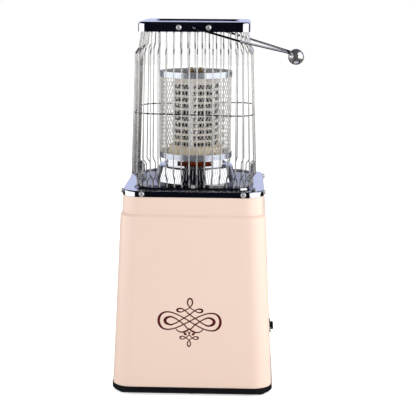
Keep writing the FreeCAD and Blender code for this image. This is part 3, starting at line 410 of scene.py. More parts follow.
PLASTIC_GRAIN = dict(rough=(0.4, 0.55), scales=(80, 90, 1500), microns=30)
pale_plastic = finish("pale_moulding", (0.80, 0.77, 0.70), (0.70, 0.67, 0.60), **PLASTIC_GRAIN)
grey_plastic = finish("grey_moulding", (0.26, 0.26, 0.27), (0.20, 0.20, 0.21), **PLASTIC_GRAIN)
print("materials so far:", len(bpy.data.materials))

# %% [markdown]
# Some finishes change inside one piece. The deck is pressed from one sheet, polished and chromed, but under
# the cage the plateau is painted much darker than the bright border: a painted reflection of the dark feet
# of the wires and the pedestal, and painted shade under the cage. A mask cuts that square out of the object's
# own coordinates and lays a second, dark tint over the first.

# %% Deck finish
PLATEAU_HALF = 86.5 * MM
PLATEAU_EDGE = 2 * MM
PLATEAU_DEPTH = 0.5 * MM
plateau_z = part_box("deck_tray")[1].z


def object_axes(tree):
    """Sockets X, Y and Z of the object's own coordinates."""
    return add_node(tree, "ShaderNodeSeparateXYZ", Vector=object_place(tree)).outputs


def second_tint(mask, scale, light, dark):
    """Lay another drifting tint over the base colour where the mask is 1."""
    tree = mask.id_data
    base = tree.nodes["Principled BSDF"].inputs["Base Color"]
    over = drifting_tint(tree, scale, light, dark)
    feed(base, colour_mix(mask, base.links[0].from_socket, over))


tree = deck_chrome.node_tree
spot = object_axes(tree)
out = maths("MAXIMUM", maths("ABSOLUTE", spot["X"]), maths("ABSOLUTE", spot["Y"]))
inside = ramp(out, PLATEAU_HALF, PLATEAU_HALF - PLATEAU_EDGE)
on_top = ramp(spot["Z"], plateau_z - PLATEAU_DEPTH, plateau_z)
# painted reflection and shade: the plateau under the cage is darkened
painted_plateau_shade = maths("MULTIPLY", inside, on_top)
second_tint(painted_plateau_shade, 60, light=(0.17, 0.165, 0.15), dark=(0.11, 0.11, 0.10))
print("plateau top at", round(plateau_z, 4))

# %% [markdown]
# The barrel of the core is a six-sided tube of pale clay. Through its slots one looks inside, and the inside
# is painted dark as painted shade. The distance from the axis, taken across the nearest pair of
# flat sides, tells the inside from the outside. Towards the foot the clay has turned a little yellow.

# %% Core finish
CORE_FLAT = 31.6 * MM
FLAT_ANGLE = math.radians(-68)
SHADE_PAINTED_FROM = CORE_FLAT - 0.4 * MM
SHADE_PAINTED_TO = CORE_FLAT - 1.4 * MM
YELLOW_FROM = 45 * MM
YELLOW_TO = 8 * MM
core_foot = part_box("ceramic_core")[0].z
tree = clay.node_tree
across = 0.0
for side in range(3):
    angle = FLAT_ANGLE + side * math.pi / 3
    reach = add_node(tree, "ShaderNodeVectorMath", {"operation": "DOT_PRODUCT"})
    feed(reach.inputs[0], object_place(tree))
    feed(reach.inputs[1], (math.cos(angle), math.sin(angle), 0))
    across = maths("MAXIMUM", across, maths("ABSOLUTE", reach.outputs["Value"]))
# painted shade: the inside of the core, seen through the slots, is darkened
inside_painted_shade = ramp(across, SHADE_PAINTED_FROM, SHADE_PAINTED_TO)
second_tint(inside_painted_shade, 140, light=(0.26, 0.22, 0.20), dark=(0.12, 0.10, 0.095))
foot = ramp(object_axes(tree)["Z"], core_foot + YELLOW_FROM, core_foot + YELLOW_TO)
yellowed = maths("MULTIPLY", foot, maths("SUBTRACT", 1.0, inside_painted_shade))
second_tint(yellowed, 140, light=(0.95, 0.82, 0.62), dark=(0.86, 0.70, 0.48))
print("core painted_dark inside", round(CORE_FLAT / MM, 1), "mm")

# %% [markdown]
# The red seat under the core is ribbed, as a screwed lamp base is, to let it grip the stand. The ribs are too
# fine to model, so a wave round the axis joins the grain in the bump.

# %% Seat finish
SEAT_RIBS = 44
RIB_HEIGHT = 2.5
tree = red_clay.node_tree
spot = object_axes(tree)
around = maths("ARCTAN2", spot["Y"], spot["X"])
ribs = maths("SINE", maths("MULTIPLY", around, SEAT_RIBS))
height = next(node for node in tree.nodes if node.type == "BUMP").inputs["Height"]
feed(height, maths("MULTIPLY_ADD", ribs, RIB_HEIGHT, height.links[0].from_socket))
print("seat has", SEAT_RIBS, "ribs")

# %% [markdown]
# The wires are tinted darker towards the deck, and the lower of the two bands round the guard is greyer
# than the upper one. One mask by height serves both finishes.

# %% Metal darker low down
DARKER_FROM_Z = 430 * MM
DARKER_TO_Z = 365 * MM
LOW_DOWN_TINTS = {
    wire_plate: ((0.62, 0.61, 0.60), (0.50, 0.49, 0.48)),
    band_plate: ((0.66, 0.70, 0.78), (0.56, 0.60, 0.70)),
}
for material, (light, dark) in LOW_DOWN_TINTS.items():
    tree = material.node_tree
    low_down = ramp(object_axes(tree)["Z"], DARKER_FROM_Z, DARKER_TO_Z)
    second_tint(low_down, 60, light, dark)
print("metal darkened below", round(DARKER_FROM_Z, 3), "m")

# %% [markdown]
# The solids that keep their shape take these finishes straight away. A node's mesh is left as it is; only
# its material slot changes. The solids that are made anew below need no finish.

# %% Finishes on the solids
WORN_BY = {
    enamel: ["body_shell"],
    deck_chrome: ["deck_tray"],
    chrome: ["pedestal", "core_stand", "top_cap"],
    band_plate: ["mesh_top_band", "mesh_bottom_band"],
    wire_plate: ["cage_base_ring", "cage_top_ring"],
    screw_plate: ["cage_clips", "pivot_caps", "core_rails"],
    zinc: ["heat_shield", "shield_spacers", "pivot_plates", "stud_nuts"],
    clay: ["ceramic_core"],
    disc_clay: ["terminal_disc"],
    red_clay: ["core_seat"],
    brass: ["terminal_studs", "terminal_nuts", "block_screws", "switch_blades"],
    black_plastic: ["base_tray", "cord_gland"],
    switch_plastic: ["switch_housing", "switch_rocker"],
    rubber: ["feet"],
    pale_plastic: ["terminal_block", "thermal_cutout"],
    grey_plastic: ["tipover_switch", "tipover_plunger"],
}
for material, names in WORN_BY.items():
    for name in names:
        for slot in nodes[name].material_slots:
            slot.material = material
print("dressed", sum(len(names) for names in WORN_BY.values()), "of", len(nodes), "nodes")

# %% [markdown]
# ## Geometry Nodes helpers
# A tree of Geometry Nodes keeps its sizes as named inputs, so one tree can serve several pieces. The
# helpers below start a tree, end it, and turn the evaluated result into a plain mesh at the origin.

# %% Tree helpers
def geometry_tree(name, **inputs):
    """New tree that takes geometry, the named inputs and a finish; the sockets inside it come with it."""
    tree = bpy.data.node_groups.new(name, "GeometryNodeTree")
    for label, kind in {"Geometry": "Geometry", **inputs, "Finish": "Material"}.items():
        tree.interface.new_socket(label.replace("_", " "), in_out="INPUT", socket_type="NodeSocket" + kind)
    tree.interface.new_socket("Geometry", in_out="OUTPUT", socket_type="NodeSocketGeometry")
    return tree, tree.nodes.new("NodeGroupInput").outputs


def close_tree(given, geometry, smooth=True):
    """End a tree the same way each time: real geometry, with its finish."""
    tree = geometry.id_data
    geometry = add_node(tree, "GeometryNodeRealizeInstances", Geometry=geometry)
    if smooth:
        geometry = add_node(tree, "GeometryNodeSetShadeSmooth", Geometry=geometry)
    worn = add_node(tree, "GeometryNodeSetMaterial", Geometry=geometry, Material=given["Finish"])
    add_node(tree, "NodeGroupOutput", Geometry=worn)


def plain_mesh(worked):
    """Mesh of an object as its modifiers leave it; the object itself is removed."""
    bpy.context.view_layer.update()
    ready = worked.evaluated_get(bpy.context.evaluated_depsgraph_get())
    mesh = bpy.data.meshes.new_from_object(ready)
    bpy.data.objects.remove(worked)
    return mesh


def grown(name, seed_data, tree, **values):
    """Run a tree on a seed curve or mesh and keep the result as a plain mesh object."""
    seed = in_scene(name + "_seed", seed_data)
    modifier = seed.modifiers.new("tree", "NODES")
    modifier.node_group = tree
    for item in tree.interface.items_tree:
        label = item.name.replace(" ", "_")
        if item.in_out == "INPUT" and label in values:
            modifier[item.identifier] = values[label]
    mesh = plain_mesh(seed)
    mesh.name = name
    print(name, "has", len(mesh.polygons), "faces")
    return in_scene(name, mesh)


def swept(path, profile, **sources):
    """What a closed profile leaves behind along a path, with closed ends."""
    return add_node(path.id_data, "GeometryNodeCurveToMesh", Curve=path, Profile_Curve=profile,
                    Fill_Caps=True, **sources)


def up_by(length):
    """Vector with a Z part alone; as a rotation it turns about Z."""
    return add_node(length.id_data, "ShaderNodeCombineXYZ", Z=length)


print("shader groups made before the first tree:", len(bpy.data.node_groups))

# %% [markdown]
# ## Cage wires
# Sixty bent wires stand round the core. Each leaves the plateau upright, steps outwards over a joggle, runs
# up with a slight lean, and turns in at a shoulder to reach the cap. Drawing sixty curves by hand would be
# slow, and one wire spun about the axis would not follow the rounded square, so each wire's bends are
# points on one outline that changes with height.

# %% Cage outline
WIRES_PER_SIDE = 15
WIRE_COUNT = 4 * WIRES_PER_SIDE
CAGE_HALF = 91.5 * MM
CAGE_CORNER = 31.4 * MM
cage_low, cage_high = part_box("cage_wires_front")
joggle_z = cage_low.z + 11.7 * MM
shoulder_z = cage_high.z - 37.2 * MM
# each bend has a height, half the width of the cage there, and how far the wires spread along a side
cage_levels = [
    (cage_low.z, 84.5 * MM, 0.965),
    (joggle_z, 84.5 * MM, 0.965),
    (joggle_z + 7.0 * MM, CAGE_HALF, 1.0),
    (shoulder_z - 8.0 * MM, 85.8 * MM, 1.0),
    (shoulder_z, 80.8 * MM, 0.99),
    (cage_high.z - 0.3 * MM, 75.0 * MM, 0.99),
]
cage_flat = CAGE_HALF - CAGE_CORNER
wire_pitch = (2 * cage_flat + CAGE_CORNER * math.pi / 2) / WIRES_PER_SIDE


def cage_point(number, z, half, spread):
    """Point of one wire at a height, counted along the widest outline and then turned to its side."""
    side, index = divmod(number, WIRES_PER_SIDE)
    place = (index + 1 - WIRES_PER_SIDE / 2) * wire_pitch
    if abs(place) <= cage_flat:
        spot = Vector((place * spread, -half, z))
    else:
        angle = (abs(place) - cage_flat) / CAGE_CORNER
        flat = cage_flat * spread
        corner = half - flat
        x = math.copysign(flat + corner * math.sin(angle), place)
        spot = Vector((x, -flat - corner * math.cos(angle), z))
    return Matrix.Rotation(side * math.pi / 2, 3, "Z") @ spot


wire_lines = [[cage_point(number, *level) for level in cage_levels] for number in range(WIRE_COUNT)]
print(len(wire_lines), "wires,", round(wire_pitch / MM, 2), "mm apart")

# %% [markdown]
# A bending machine leaves a small radius at each bend. One tree rounds the bends of a line and sweeps a
# circle along it; the waist ring and the handle go through the same tree, with other sizes.

# %% Cage wires
WIRE_RADIUS = 1.0 * MM
WIRE_BEND = 3 * MM


def straight_lines(name, lines, closed=False):
    """Curve data with one line of straight stretches for each list of points."""
    curves = bpy.data.curves.new(name, "CURVE")
    curves.dimensions = "3D"
    for spots in lines:
        spline = curves.splines.new("POLY")
        spline.use_cyclic_u = closed
        spline.points.add(len(spots) - 1)
        for point, spot in zip(spline.points, spots):
            point.co = (*spot, 1)
    return curves


bent_wires, given = geometry_tree("bent_wires", Wire_Radius="Float", Bend_Radius="Float")
rounded = add_node(bent_wires, "GeometryNodeFilletCurve", {"mode": "POLY"}, Curve=given["Geometry"],
                   Radius=given["Bend Radius"], Count=4, Limit_Radius=True)
section = add_node(bent_wires, "GeometryNodeCurvePrimitiveCircle", Radius=given["Wire Radius"], Resolution=10)
close_tree(given, swept(rounded, section))

cage = grown("cage_wires", straight_lines("cage_wires", wire_lines), bent_wires, Wire_Radius=WIRE_RADIUS,
             Bend_Radius=WIRE_BEND, Finish=wire_plate)
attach(cage, "heater")
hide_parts("cage_wires_front", "cage_wires_right", "cage_wires_back", "cage_wires_left")

# %% [markdown]
# Half way up, a ring of the same wire is welded inside the sixty. It was set by hand and sits a little
# twisted: low at the front right and the back left, high at the other two corners. It follows the outline
# of the cage a wire's width further in, and the tree that bent the wires sweeps it too.

# %% Waist ring
RING_TWIST = 1.6 * MM
RING_DROP = 0.6 * MM
RING_BEND = 20 * MM
ring_low, ring_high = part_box("cage_waist_ring")
ring_z = (ring_low.z + ring_high.z) / 2 - RING_DROP
ring_half = ring_high.x - WIRE_RADIUS
ring_line = []
for number in range(WIRE_COUNT):
    spot = cage_point(number, ring_z, ring_half, 1.0)
    spot.z += RING_TWIST * spot.x * spot.y / ring_half ** 2
    ring_line.append(spot)
ring = grown("waist_ring", straight_lines("waist_ring", [ring_line], closed=True), bent_wires,
             Wire_Radius=WIRE_RADIUS, Bend_Radius=RING_BEND, Finish=ring_plate)
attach(ring, "heater")
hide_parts("cage_waist_ring")
print("ring", round(ring_half / MM, 2), "mm from the axis at", round(ring_z, 4))

# %% [markdown]
# ## Mesh guard
# The guard round the core is expanded metal: a sheet is slit and pulled until the slits open into diamonds,
# which leaves narrow strands, each twisted a little out of the sheet. The solid carries a coarse pattern
# of diamonds; here it has its true pitch. A zigzag strand is bent once for each of two layers, and the tree
# turns copies of it round the axis. The second layer zigzags the other way, so that neighbours meet at
# their points.

# %% Mesh guard
STRAND_INSET = 0.45 * MM
guard_low, guard_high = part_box("mesh_guard")

tree, given = geometry_tree("expanded_mesh", Radius="Float", Bottom="Float", Top="Float", Strands="Int",
                            Rows="Int", Strand_Width="Float", Strand_Thickness="Float", Twist="Float")
strip = add_node(tree, "GeometryNodeCurvePrimitiveQuadrilateral", Width=given["Strand Width"],
                 Height=given["Strand Thickness"])
section = add_node(tree, "GeometryNodeTransform", Geometry=strip, Rotation=up_by(given["Twist"]))
line = add_node(tree, "GeometryNodeCurvePrimitiveLine", Start=up_by(given["Bottom"]),
                End=up_by(given["Top"]))
bends = maths("ADD", maths("MULTIPLY", given["Rows"], 2), 1)
upright = add_node(tree, "GeometryNodeResampleCurve", Curve=line, Count=bends)
index = add_node(tree, "GeometryNodeInputIndex")
position = add_node(tree, "GeometryNodeInputPosition")
height = add_node(tree, "ShaderNodeSeparateXYZ", Vector=position).outputs["Z"]
swing = maths("DIVIDE", math.pi, given["Strands"])
pitch = maths("DIVIDE", 2 * math.pi, given["Strands"])
layers = add_node(tree, "GeometryNodeJoinGeometry")
for layer in (0, 1):
    odd = maths("MODULO", maths("ADD", index, layer), 2)
    side = maths("SUBTRACT", maths("MULTIPLY", odd, 2), 1)
    angle = maths("MULTIPLY", side, swing)
    x = maths("MULTIPLY", maths("COSINE", angle), given["Radius"])
    y = maths("MULTIPLY", maths("SINE", angle), given["Radius"])
    place = add_node(tree, "ShaderNodeCombineXYZ", X=x, Y=y, Z=height)
    zigzag = add_node(tree, "GeometryNodeSetPosition", Geometry=upright, Position=place)
    spots = add_node(tree, "GeometryNodePoints", Count=maths("DIVIDE", given["Strands"], 2))
    number = maths("ADD", maths("MULTIPLY", index, 2), layer + 0.5)
    facing = up_by(maths("MULTIPLY", number, pitch))
    strand = swept(zigzag, section)
    copies = add_node(tree, "GeometryNodeInstanceOnPoints", Points=spots, Instance=strand, Rotation=facing)
    feed(layers.inputs[0], copies)
close_tree(given, layers)
guard = grown("expanded_guard", bpy.data.meshes.new("guard_seed"), tree, Radius=guard_high.x - STRAND_INSET,
              Bottom=guard_low.z, Top=guard_high.z, Strands=126, Rows=11, Strand_Width=0.95 * MM,
              Strand_Thickness=0.5 * MM, Twist=math.radians(35), Finish=mesh_plate)
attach(guard, "heater")
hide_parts("mesh_guard")

# %% [markdown]
# ## Heating spirals
# Inside the core stand six rods, and on each a resistance wire is wound in a close spiral; the slots let its
# glow out. The solids carry the plain rods in one node, so their places are read from the separate solids
# in its mesh.

# %% Rods in the frame
SAME_POINT = 1e-6


def solids_of(node):
    """Lowest and highest corner of each separate solid in a node, in the same order in every run."""
    work = bmesh.new()
    work.from_mesh(nodes[node].data)
    bmesh.ops.remove_doubles(work, verts=work.verts, dist=SAME_POINT)
    left = dict.fromkeys(work.verts)
    boxes = []
    while left:
        group = [left.popitem()[0]]
        for vert in group:
            for edge in vert.link_edges:
                other = edge.other_vert(vert)
                if other in left:
                    del left[other]
                    group.append(other)
        low = Vector([min(v.co[axis] for v in group) for axis in range(3)])
        high = Vector([max(v.co[axis] for v in group) for axis in range(3)])
        boxes.append((low, high))
    work.free()
    return boxes


rods = solids_of("heating_bars")
rod_height = rods[0][1].z - rods[0][0].z
rod_feet = bpy.data.meshes.new("rod_feet")
rod_feet.from_pydata([((low.x + high.x) / 2, (low.y + high.y) / 2, low.z) for low, high in rods], [], [])
print(len(rods), "rods,", round(rod_height / MM, 1), "mm high")

# %% [markdown]
# A tree winds one spiral from a formula, puts a rod through it, and sets a copy wherever a rod stands in the
# frame. Six spirals drawn as curves would look the same, but could not be rewound by changing one number.

# %% Heating spirals
tree, given = geometry_tree("wound_rods", Height="Float", Rod_Radius="Float", Coil_Radius="Float",
                            Wire_Radius="Float", Turns="Float")
coil = add_node(tree, "GeometryNodeCurveSpiral", Rotations=given["Turns"], Start_Radius=given["Coil Radius"],
                End_Radius=given["Coil Radius"], Height=given["Height"], Resolution=12)
section = add_node(tree, "GeometryNodeCurvePrimitiveCircle", Radius=given["Wire Radius"], Resolution=5)
rod = add_node(tree, "GeometryNodeMeshCylinder", Radius=given["Rod Radius"], Depth=given["Height"],
               Vertices=16)
lift = up_by(maths("DIVIDE", given["Height"], 2))
wound = add_node(tree, "GeometryNodeJoinGeometry")
feed(wound.inputs[0], swept(coil, section))
feed(wound.inputs[0], add_node(tree, "GeometryNodeTransform", Geometry=rod, Translation=lift))
spots = add_node(tree, "GeometryNodeMeshToPoints", Mesh=given["Geometry"])
close_tree(given, add_node(tree, "GeometryNodeInstanceOnPoints", Points=spots, Instance=wound))
spirals = grown("heating_spirals", rod_feet, tree, Height=rod_height, Rod_Radius=2.6 * MM,
                Coil_Radius=6.2 * MM, Wire_Radius=0.95 * MM, Turns=44.0, Finish=carbide)
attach(spirals, "heater")
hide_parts("heating_bars")

# %% [markdown]
# ## Pan-head screws
# The deck, the cap, the clips and the tray are held by plated pan-head screws with a cross recess. One head,
# with a radius of one, is turned as a profile. It is made once, because every screw has the same form in
# another size. A Screw modifier could turn it too; a function serves the handle's ball and collars as well.

# %% Turned head
HEAD_PROFILE = [(0, -2.0), (0.46, -2.0), (0.46, 0), (1.0, 0), (1.0, 0.14), (0.95, 0.34), (0.82, 0.52),
                (0.60, 0.67), (0.32, 0.75), (0, 0.78)]
HEAD_STEPS = 20


def skin(work, rings):
    """Faces between each ring of vertices and the next."""
    for lower, upper in zip(rings, rings[1:]):
        for k in range(len(lower)):
            corners = (lower[k - 1], lower[k], upper[k], upper[k - 1])
            work.faces.new(list(dict.fromkeys(corners)))


def mesh_from(work, name):
    """Mesh with what a bmesh holds; the bmesh is freed."""
    mesh = bpy.data.meshes.new(name)
    work.to_mesh(mesh)
    work.free()
    return mesh


def turned_profile(name, outline, steps):
    """Closed solid of revolution about Z from radius and height pairs that start and end on the axis."""
    work = bmesh.new()
    angles = [2 * math.pi * k / steps for k in range(steps)]
    rings = []
    for radius, z in outline:
        if radius == 0:
            rings.append([work.verts.new((0, 0, z))] * steps)
        else:
            rings.append([work.verts.new((radius * math.cos(a), radius * math.sin(a), z)) for a in angles])
    skin(work, rings)
    return mesh_from(work, name)


blank = in_scene("screw_blank", turned_profile("screw_blank", HEAD_PROFILE, HEAD_STEPS))
print("turned head has", len(blank.data.polygons), "faces")

# %% [markdown]
# A punch forms the cross recess. Here two crossed bars are taken out of the head with a Boolean, which
# leaves clean, sharp walls.

# %% Cross recess
RECESS_REACH = 0.55
RECESS_HALF_WIDTH = 0.11
RECESS_HALF_DEPTH = 0.2
RECESS_MIDDLE = 0.7

work = bmesh.new()
for length, width in ((RECESS_REACH, RECESS_HALF_WIDTH), (RECESS_HALF_WIDTH, RECESS_REACH)):
    made = bmesh.ops.create_cube(work, size=2.0)
    bmesh.ops.scale(work, vec=(length, width, RECESS_HALF_DEPTH), verts=made["verts"])
    bmesh.ops.translate(work, vec=(0, 0, RECESS_MIDDLE), verts=made["verts"])
cutter = in_scene("recess", mesh_from(work, "recess"))
cut = blank.modifiers.new("recess", "BOOLEAN")
cut.object = cutter
cut.solver = "EXACT"
cut.use_self = True
head = bpy.data.objects.new("screw_head", plain_mesh(blank))
bpy.data.objects.remove(cutter)
print("screw head has", len(head.data.polygons), "faces")

# %% [markdown]
# Each screw's seat is read from the frame: its place on the sheet it holds, the way it faces and the radius
# of its head. Copies could be set by hand, one by one; as points that carry these as attributes they can
# all go to one tree.

# %% Screw seats
CLIP_THICKNESS = 0.8 * MM


def screw_seats(node, outward_of, face):
    """Seat point, outward direction and head radius of each screw in a node; the face is counted outwards."""
    seats = []
    for low, high in solids_of(node):
        middle = (low + high) / 2
        outward = outward_of(middle)
        axis = max(range(3), key=lambda k: abs(outward[k]))
        radius = max((high - low)[k] for k in range(3) if k != axis) / 2
        seat = middle.copy()
        seat[axis] = face * outward[axis]
        seats.append((seat, outward, radius))
    return seats


def front_or_back(middle):
    return Vector((0, math.copysign(1, middle.y), 0))


def nearest_side(middle):
    if abs(middle.x) > abs(middle.y):
        return Vector((math.copysign(1, middle.x), 0, 0))
    return front_or_back(middle)


deck_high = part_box("deck_tray")[1]
seats = screw_seats("deck_screws", nearest_side, deck_high.x)
seats += screw_seats("cap_screws", front_or_back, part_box("top_cap")[1].x)
seats += screw_seats("clip_screws", lambda middle: Vector((0, 0, 1)), deck_high.z + CLIP_THICKNESS)
seats += screw_seats("base_screws", lambda middle: Vector((0, 0, -1)), -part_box("base_tray")[0].z)

seat_mesh = bpy.data.meshes.new("screw_seats")
seat_mesh.from_pydata([seat for seat, outward, radius in seats], [], [])
for label, kind in (("outward", "FLOAT_VECTOR"), ("head_radius", "FLOAT")):
    seat_mesh.attributes.new(label, kind, "POINT")
for index, (seat, outward, radius) in enumerate(seats):
    seat_mesh.attributes["outward"].data[index].vector = outward
    seat_mesh.attributes["head_radius"].data[index].value = radius
print("screw seats:", len(seats))

# %% [markdown]
# The tree sets a copy of the head on every seat, facing outwards and scaled to its radius. Each one is
# turned by a random angle, as screws come to rest; a fixed seed gives the same angles in every run.

# %% All screws
tree, given = geometry_tree("set_screws", Screw="Object", Seed="Int")
shape = add_node(tree, "GeometryNodeObjectInfo", Object=given["Screw"])
outward = add_node(tree, "GeometryNodeInputNamedAttribute", {"data_type": "FLOAT_VECTOR"}, Name="outward")
radius = add_node(tree, "GeometryNodeInputNamedAttribute", {"data_type": "FLOAT"}, Name="head_radius")
upright = add_node(tree, "FunctionNodeAlignRotationToVector", {"axis": "Z"},
                   Vector=outward.outputs["Attribute"])
angle = add_node(tree, "FunctionNodeRandomValue", {"data_type": "FLOAT"}, Max=2 * math.pi, Seed=given["Seed"])
own_turn = add_node(tree, "FunctionNodeAxisAngleToRotation", Axis=(0, 0, 1), Angle=angle.outputs["Value"])
turned = add_node(tree, "FunctionNodeRotateRotation", {"rotation_space": "LOCAL"}, Rotation=upright,
                  Rotate_By=own_turn)
spots = add_node(tree, "GeometryNodeMeshToPoints", Mesh=given["Geometry"])
copies = add_node(tree, "GeometryNodeInstanceOnPoints", Points=spots, Instance=shape.outputs["Geometry"],
                  Rotation=turned, Scale=radius.outputs["Attribute"])
close_tree(given, copies, smooth=False)
screws = grown("pan_head_screws", seat_mesh, tree, Screw=head, Seed=7, Finish=screw_plate)
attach(screws, "heater")
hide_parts("deck_screws", "cap_screws", "clip_screws", "base_screws")
bpy.data.objects.remove(head)

# %% [markdown]
# ## Handle
# The bail is made of two rods that hook into the cap, run along the cage, and bend towards each other until
# one ball holds both. The tree that bent the cage wires bends these too. Each rod follows its solid to the
# bend; from there it rises a little towards the upper half of the ball, the back rod more than the front.

# %% Handle arms
ARM_RADIUS = 1.6 * MM
ARM_BEND = 5 * MM
ARM_BEND_AT = 70.0 * MM
ARM_JOIN_AT = 140.0 * MM
ARM_END_AT = 153.5 * MM
ARM_JOIN_OFFSET = 6.5 * MM
ARM_RISE_AT_BEND = 1.6 * MM
ARM_RISE = {-1: 3.2 * MM, 1: 5.4 * MM}

pivot_low, pivot_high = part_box("pivot_caps")
ball_low, ball_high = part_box("handle_ball")
arm_y = -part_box("handle_arm_front")[0].y - ARM_RADIUS
pivot = (pivot_low + pivot_high) / 2
ball_centre = (ball_low + ball_high) / 2
along = (ball_centre - pivot).normalized()
above = along.cross(Vector((0, 1, 0)))


def handle_point(side, out, across, lift):
    """Point of the handle's plane: so far from the pivot, to the front or the back, and above the plane."""
    return pivot + along * out + Vector((0, side * across, 0)) + above * lift


arm_lines = []
for side, rise in ARM_RISE.items():
    stops = [(0, pivot_high.y, 0), (0, arm_y, 0), (ARM_BEND_AT, arm_y, ARM_RISE_AT_BEND),
             (ARM_JOIN_AT, ARM_JOIN_OFFSET, rise), (ARM_END_AT, ARM_JOIN_OFFSET, rise)]
    arm_lines.append([handle_point(side, *stop) for stop in stops])
arms = grown("handle_arms", straight_lines("handle_arms", arm_lines), bent_wires, Wire_Radius=ARM_RADIUS,
             Bend_Radius=ARM_BEND, Finish=arm_plate)
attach(arms, "handle")
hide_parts("handle_arm_front", "handle_arm_back")

# %% [markdown]
# The ball is turned from bar and drilled twice, and each rod is pressed in through a small collar. It sits
# a little above and inside its solid, where the two rods meet it fairly. A sphere from the Add menu would
# do for the ball; the function that turned the screw's head makes the collars as well.

# %% Handle ball
BALL_SHIFT = Vector((-1.3, 0, 1.5)) * MM
BALL_RINGS = 24
BALL_STEPS = 40
COLLAR_PROFILE = [(0, -4.0), (2.5, -4.0), (2.5, 0.5), (2.1, 0.9), (0, 0.9)]
COLLAR_STEPS = 20
ball_radius = (ball_high.z - ball_low.z) / 2
ball_outline = [(0, -ball_radius)]
for k in range(1, BALL_RINGS):
    angle = math.pi * (k / BALL_RINGS - 0.5)
    ball_outline.append((ball_radius * math.cos(angle), ball_radius * math.sin(angle)))
ball_outline.append((0, ball_radius))
collar_outline = [(radius * MM, z * MM) for radius, z in COLLAR_PROFILE]
ball_seat = ball_centre + BALL_SHIFT
reach = (ball_seat - pivot).dot(along)
height = (ball_seat - pivot).dot(above)
toward_pivot = (-along).to_track_quat("Z", "Y").to_matrix().to_4x4()

turnings = [(turned_profile("ball", ball_outline, BALL_STEPS), ball_seat)]
for side, rise in ARM_RISE.items():
    back = math.sqrt(ball_radius ** 2 - ARM_JOIN_OFFSET ** 2 - (rise - height) ** 2)
    seat = handle_point(side, reach - back, ARM_JOIN_OFFSET, rise)
    turnings.append((turned_profile("collar", collar_outline, COLLAR_STEPS), seat))
work = bmesh.new()
for turning, seat in turnings:
    turning.transform(Matrix.Translation(seat) @ toward_pivot)
    work.from_mesh(turning)
for face in work.faces:
    face.smooth = True
ball = in_scene("turned_ball", mesh_from(work, "turned_ball"))
ball.data.materials.append(ball_plate)
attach(ball, "handle")
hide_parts("handle_ball")
print("ball radius", round(ball_radius / MM, 2), "mm")

# %% [markdown]
# ## Switch
# The rocker carries a ribbed thumb bar that stands clear of the bezel, so that a hand finds it on the side
# of the base. It is moulded in one with the rocker and leans with it. Its ribbed profile lies across the
# rocker's axis and is drawn out along it, with chamfered ends, on a narrower neck.

# %% Thumb bar
BAR_HALF = 5.8
BAR_CHAMFER = 0.5
BAR_PROFILE = [(-2.8, 5.0), (2.8, 5.0), (3.1, 7.1)]
BAR_PROFILE += [(2.4 - 0.8 * k, 7.6 if k % 2 else 8.0) for k in range(7)] + [(-3.1, 7.1)]
NECK_HALF = 2.8
NECK_PROFILE = [(-1.8, 3.8), (1.8, 3.8), (1.8, 5.2), (-1.8, 5.2)]

rock = next(joint for joint in frame["joints"] if joint["name"] == "switch_rock")
rock_axis = Vector(rock["axis"]).normalized()
rock_lean = math.radians(rock["range_deg"][1] - rock["range_deg"][0]) / 2
outwards = Matrix.Rotation(-rock_lean, 3, rock_axis) @ Vector((rock_axis.z, 0, -rock_axis.x))
sidewards = rock_axis.cross(outwards)


def drawn_out(work, profile, stops):
    """Closed form that draws a profile along the rocker's axis; each stop is a place and an inset, in mm."""
    middle = Vector([sum(values) / len(profile) for values in zip(*profile)])
    rings = []
    for place, inset in stops:
        ring = []
        for corner in profile:
            offset = Vector(corner) - middle
            side, out = Vector(corner) - offset.normalized() * inset
            spot = sidewards * side + rock_axis * place + outwards * out
            ring.append(work.verts.new(Vector(rock["pos_m"]) + spot * MM))
        rings.append(ring)
    skin(work, rings)
    work.faces.new(rings[0][::-1])
    work.faces.new(rings[-1])


work = bmesh.new()
drawn_out(work, BAR_PROFILE, [(-BAR_HALF, BAR_CHAMFER), (-BAR_HALF + BAR_CHAMFER, 0),
                              (BAR_HALF - BAR_CHAMFER, 0), (BAR_HALF, BAR_CHAMFER)])
drawn_out(work, NECK_PROFILE, [(-NECK_HALF, 0), (NECK_HALF, 0)])
bmesh.ops.recalc_face_normals(work, faces=work.faces)
thumb_bar = in_scene("thumb_bar", mesh_from(work, "thumb_bar"))
thumb_bar.data.materials.append(switch_plastic)
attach(thumb_bar, "rocker")
print("thumb bar has", len(thumb_bar.data.polygons), "faces")

# %% [markdown]
# ## Printed flourish
# The front carries a penman's flourish in dark red ink, of the kind that writing masters have drawn for
# centuries: a wide figure of eight, a knot with an inner pair of loops, and small loops above and below.
# The eight is a formula. The other strokes are smooth curves through the few points where a pen would
# turn, written for one half and mirrored. Each point has a place in millimetres and a width in nibs.

# %% Pen strokes
EIGHT_POINTS = 48
EIGHT_REACH = 45.5
EIGHT_RISE = 13.2
EIGHT_SWELL = 1.2

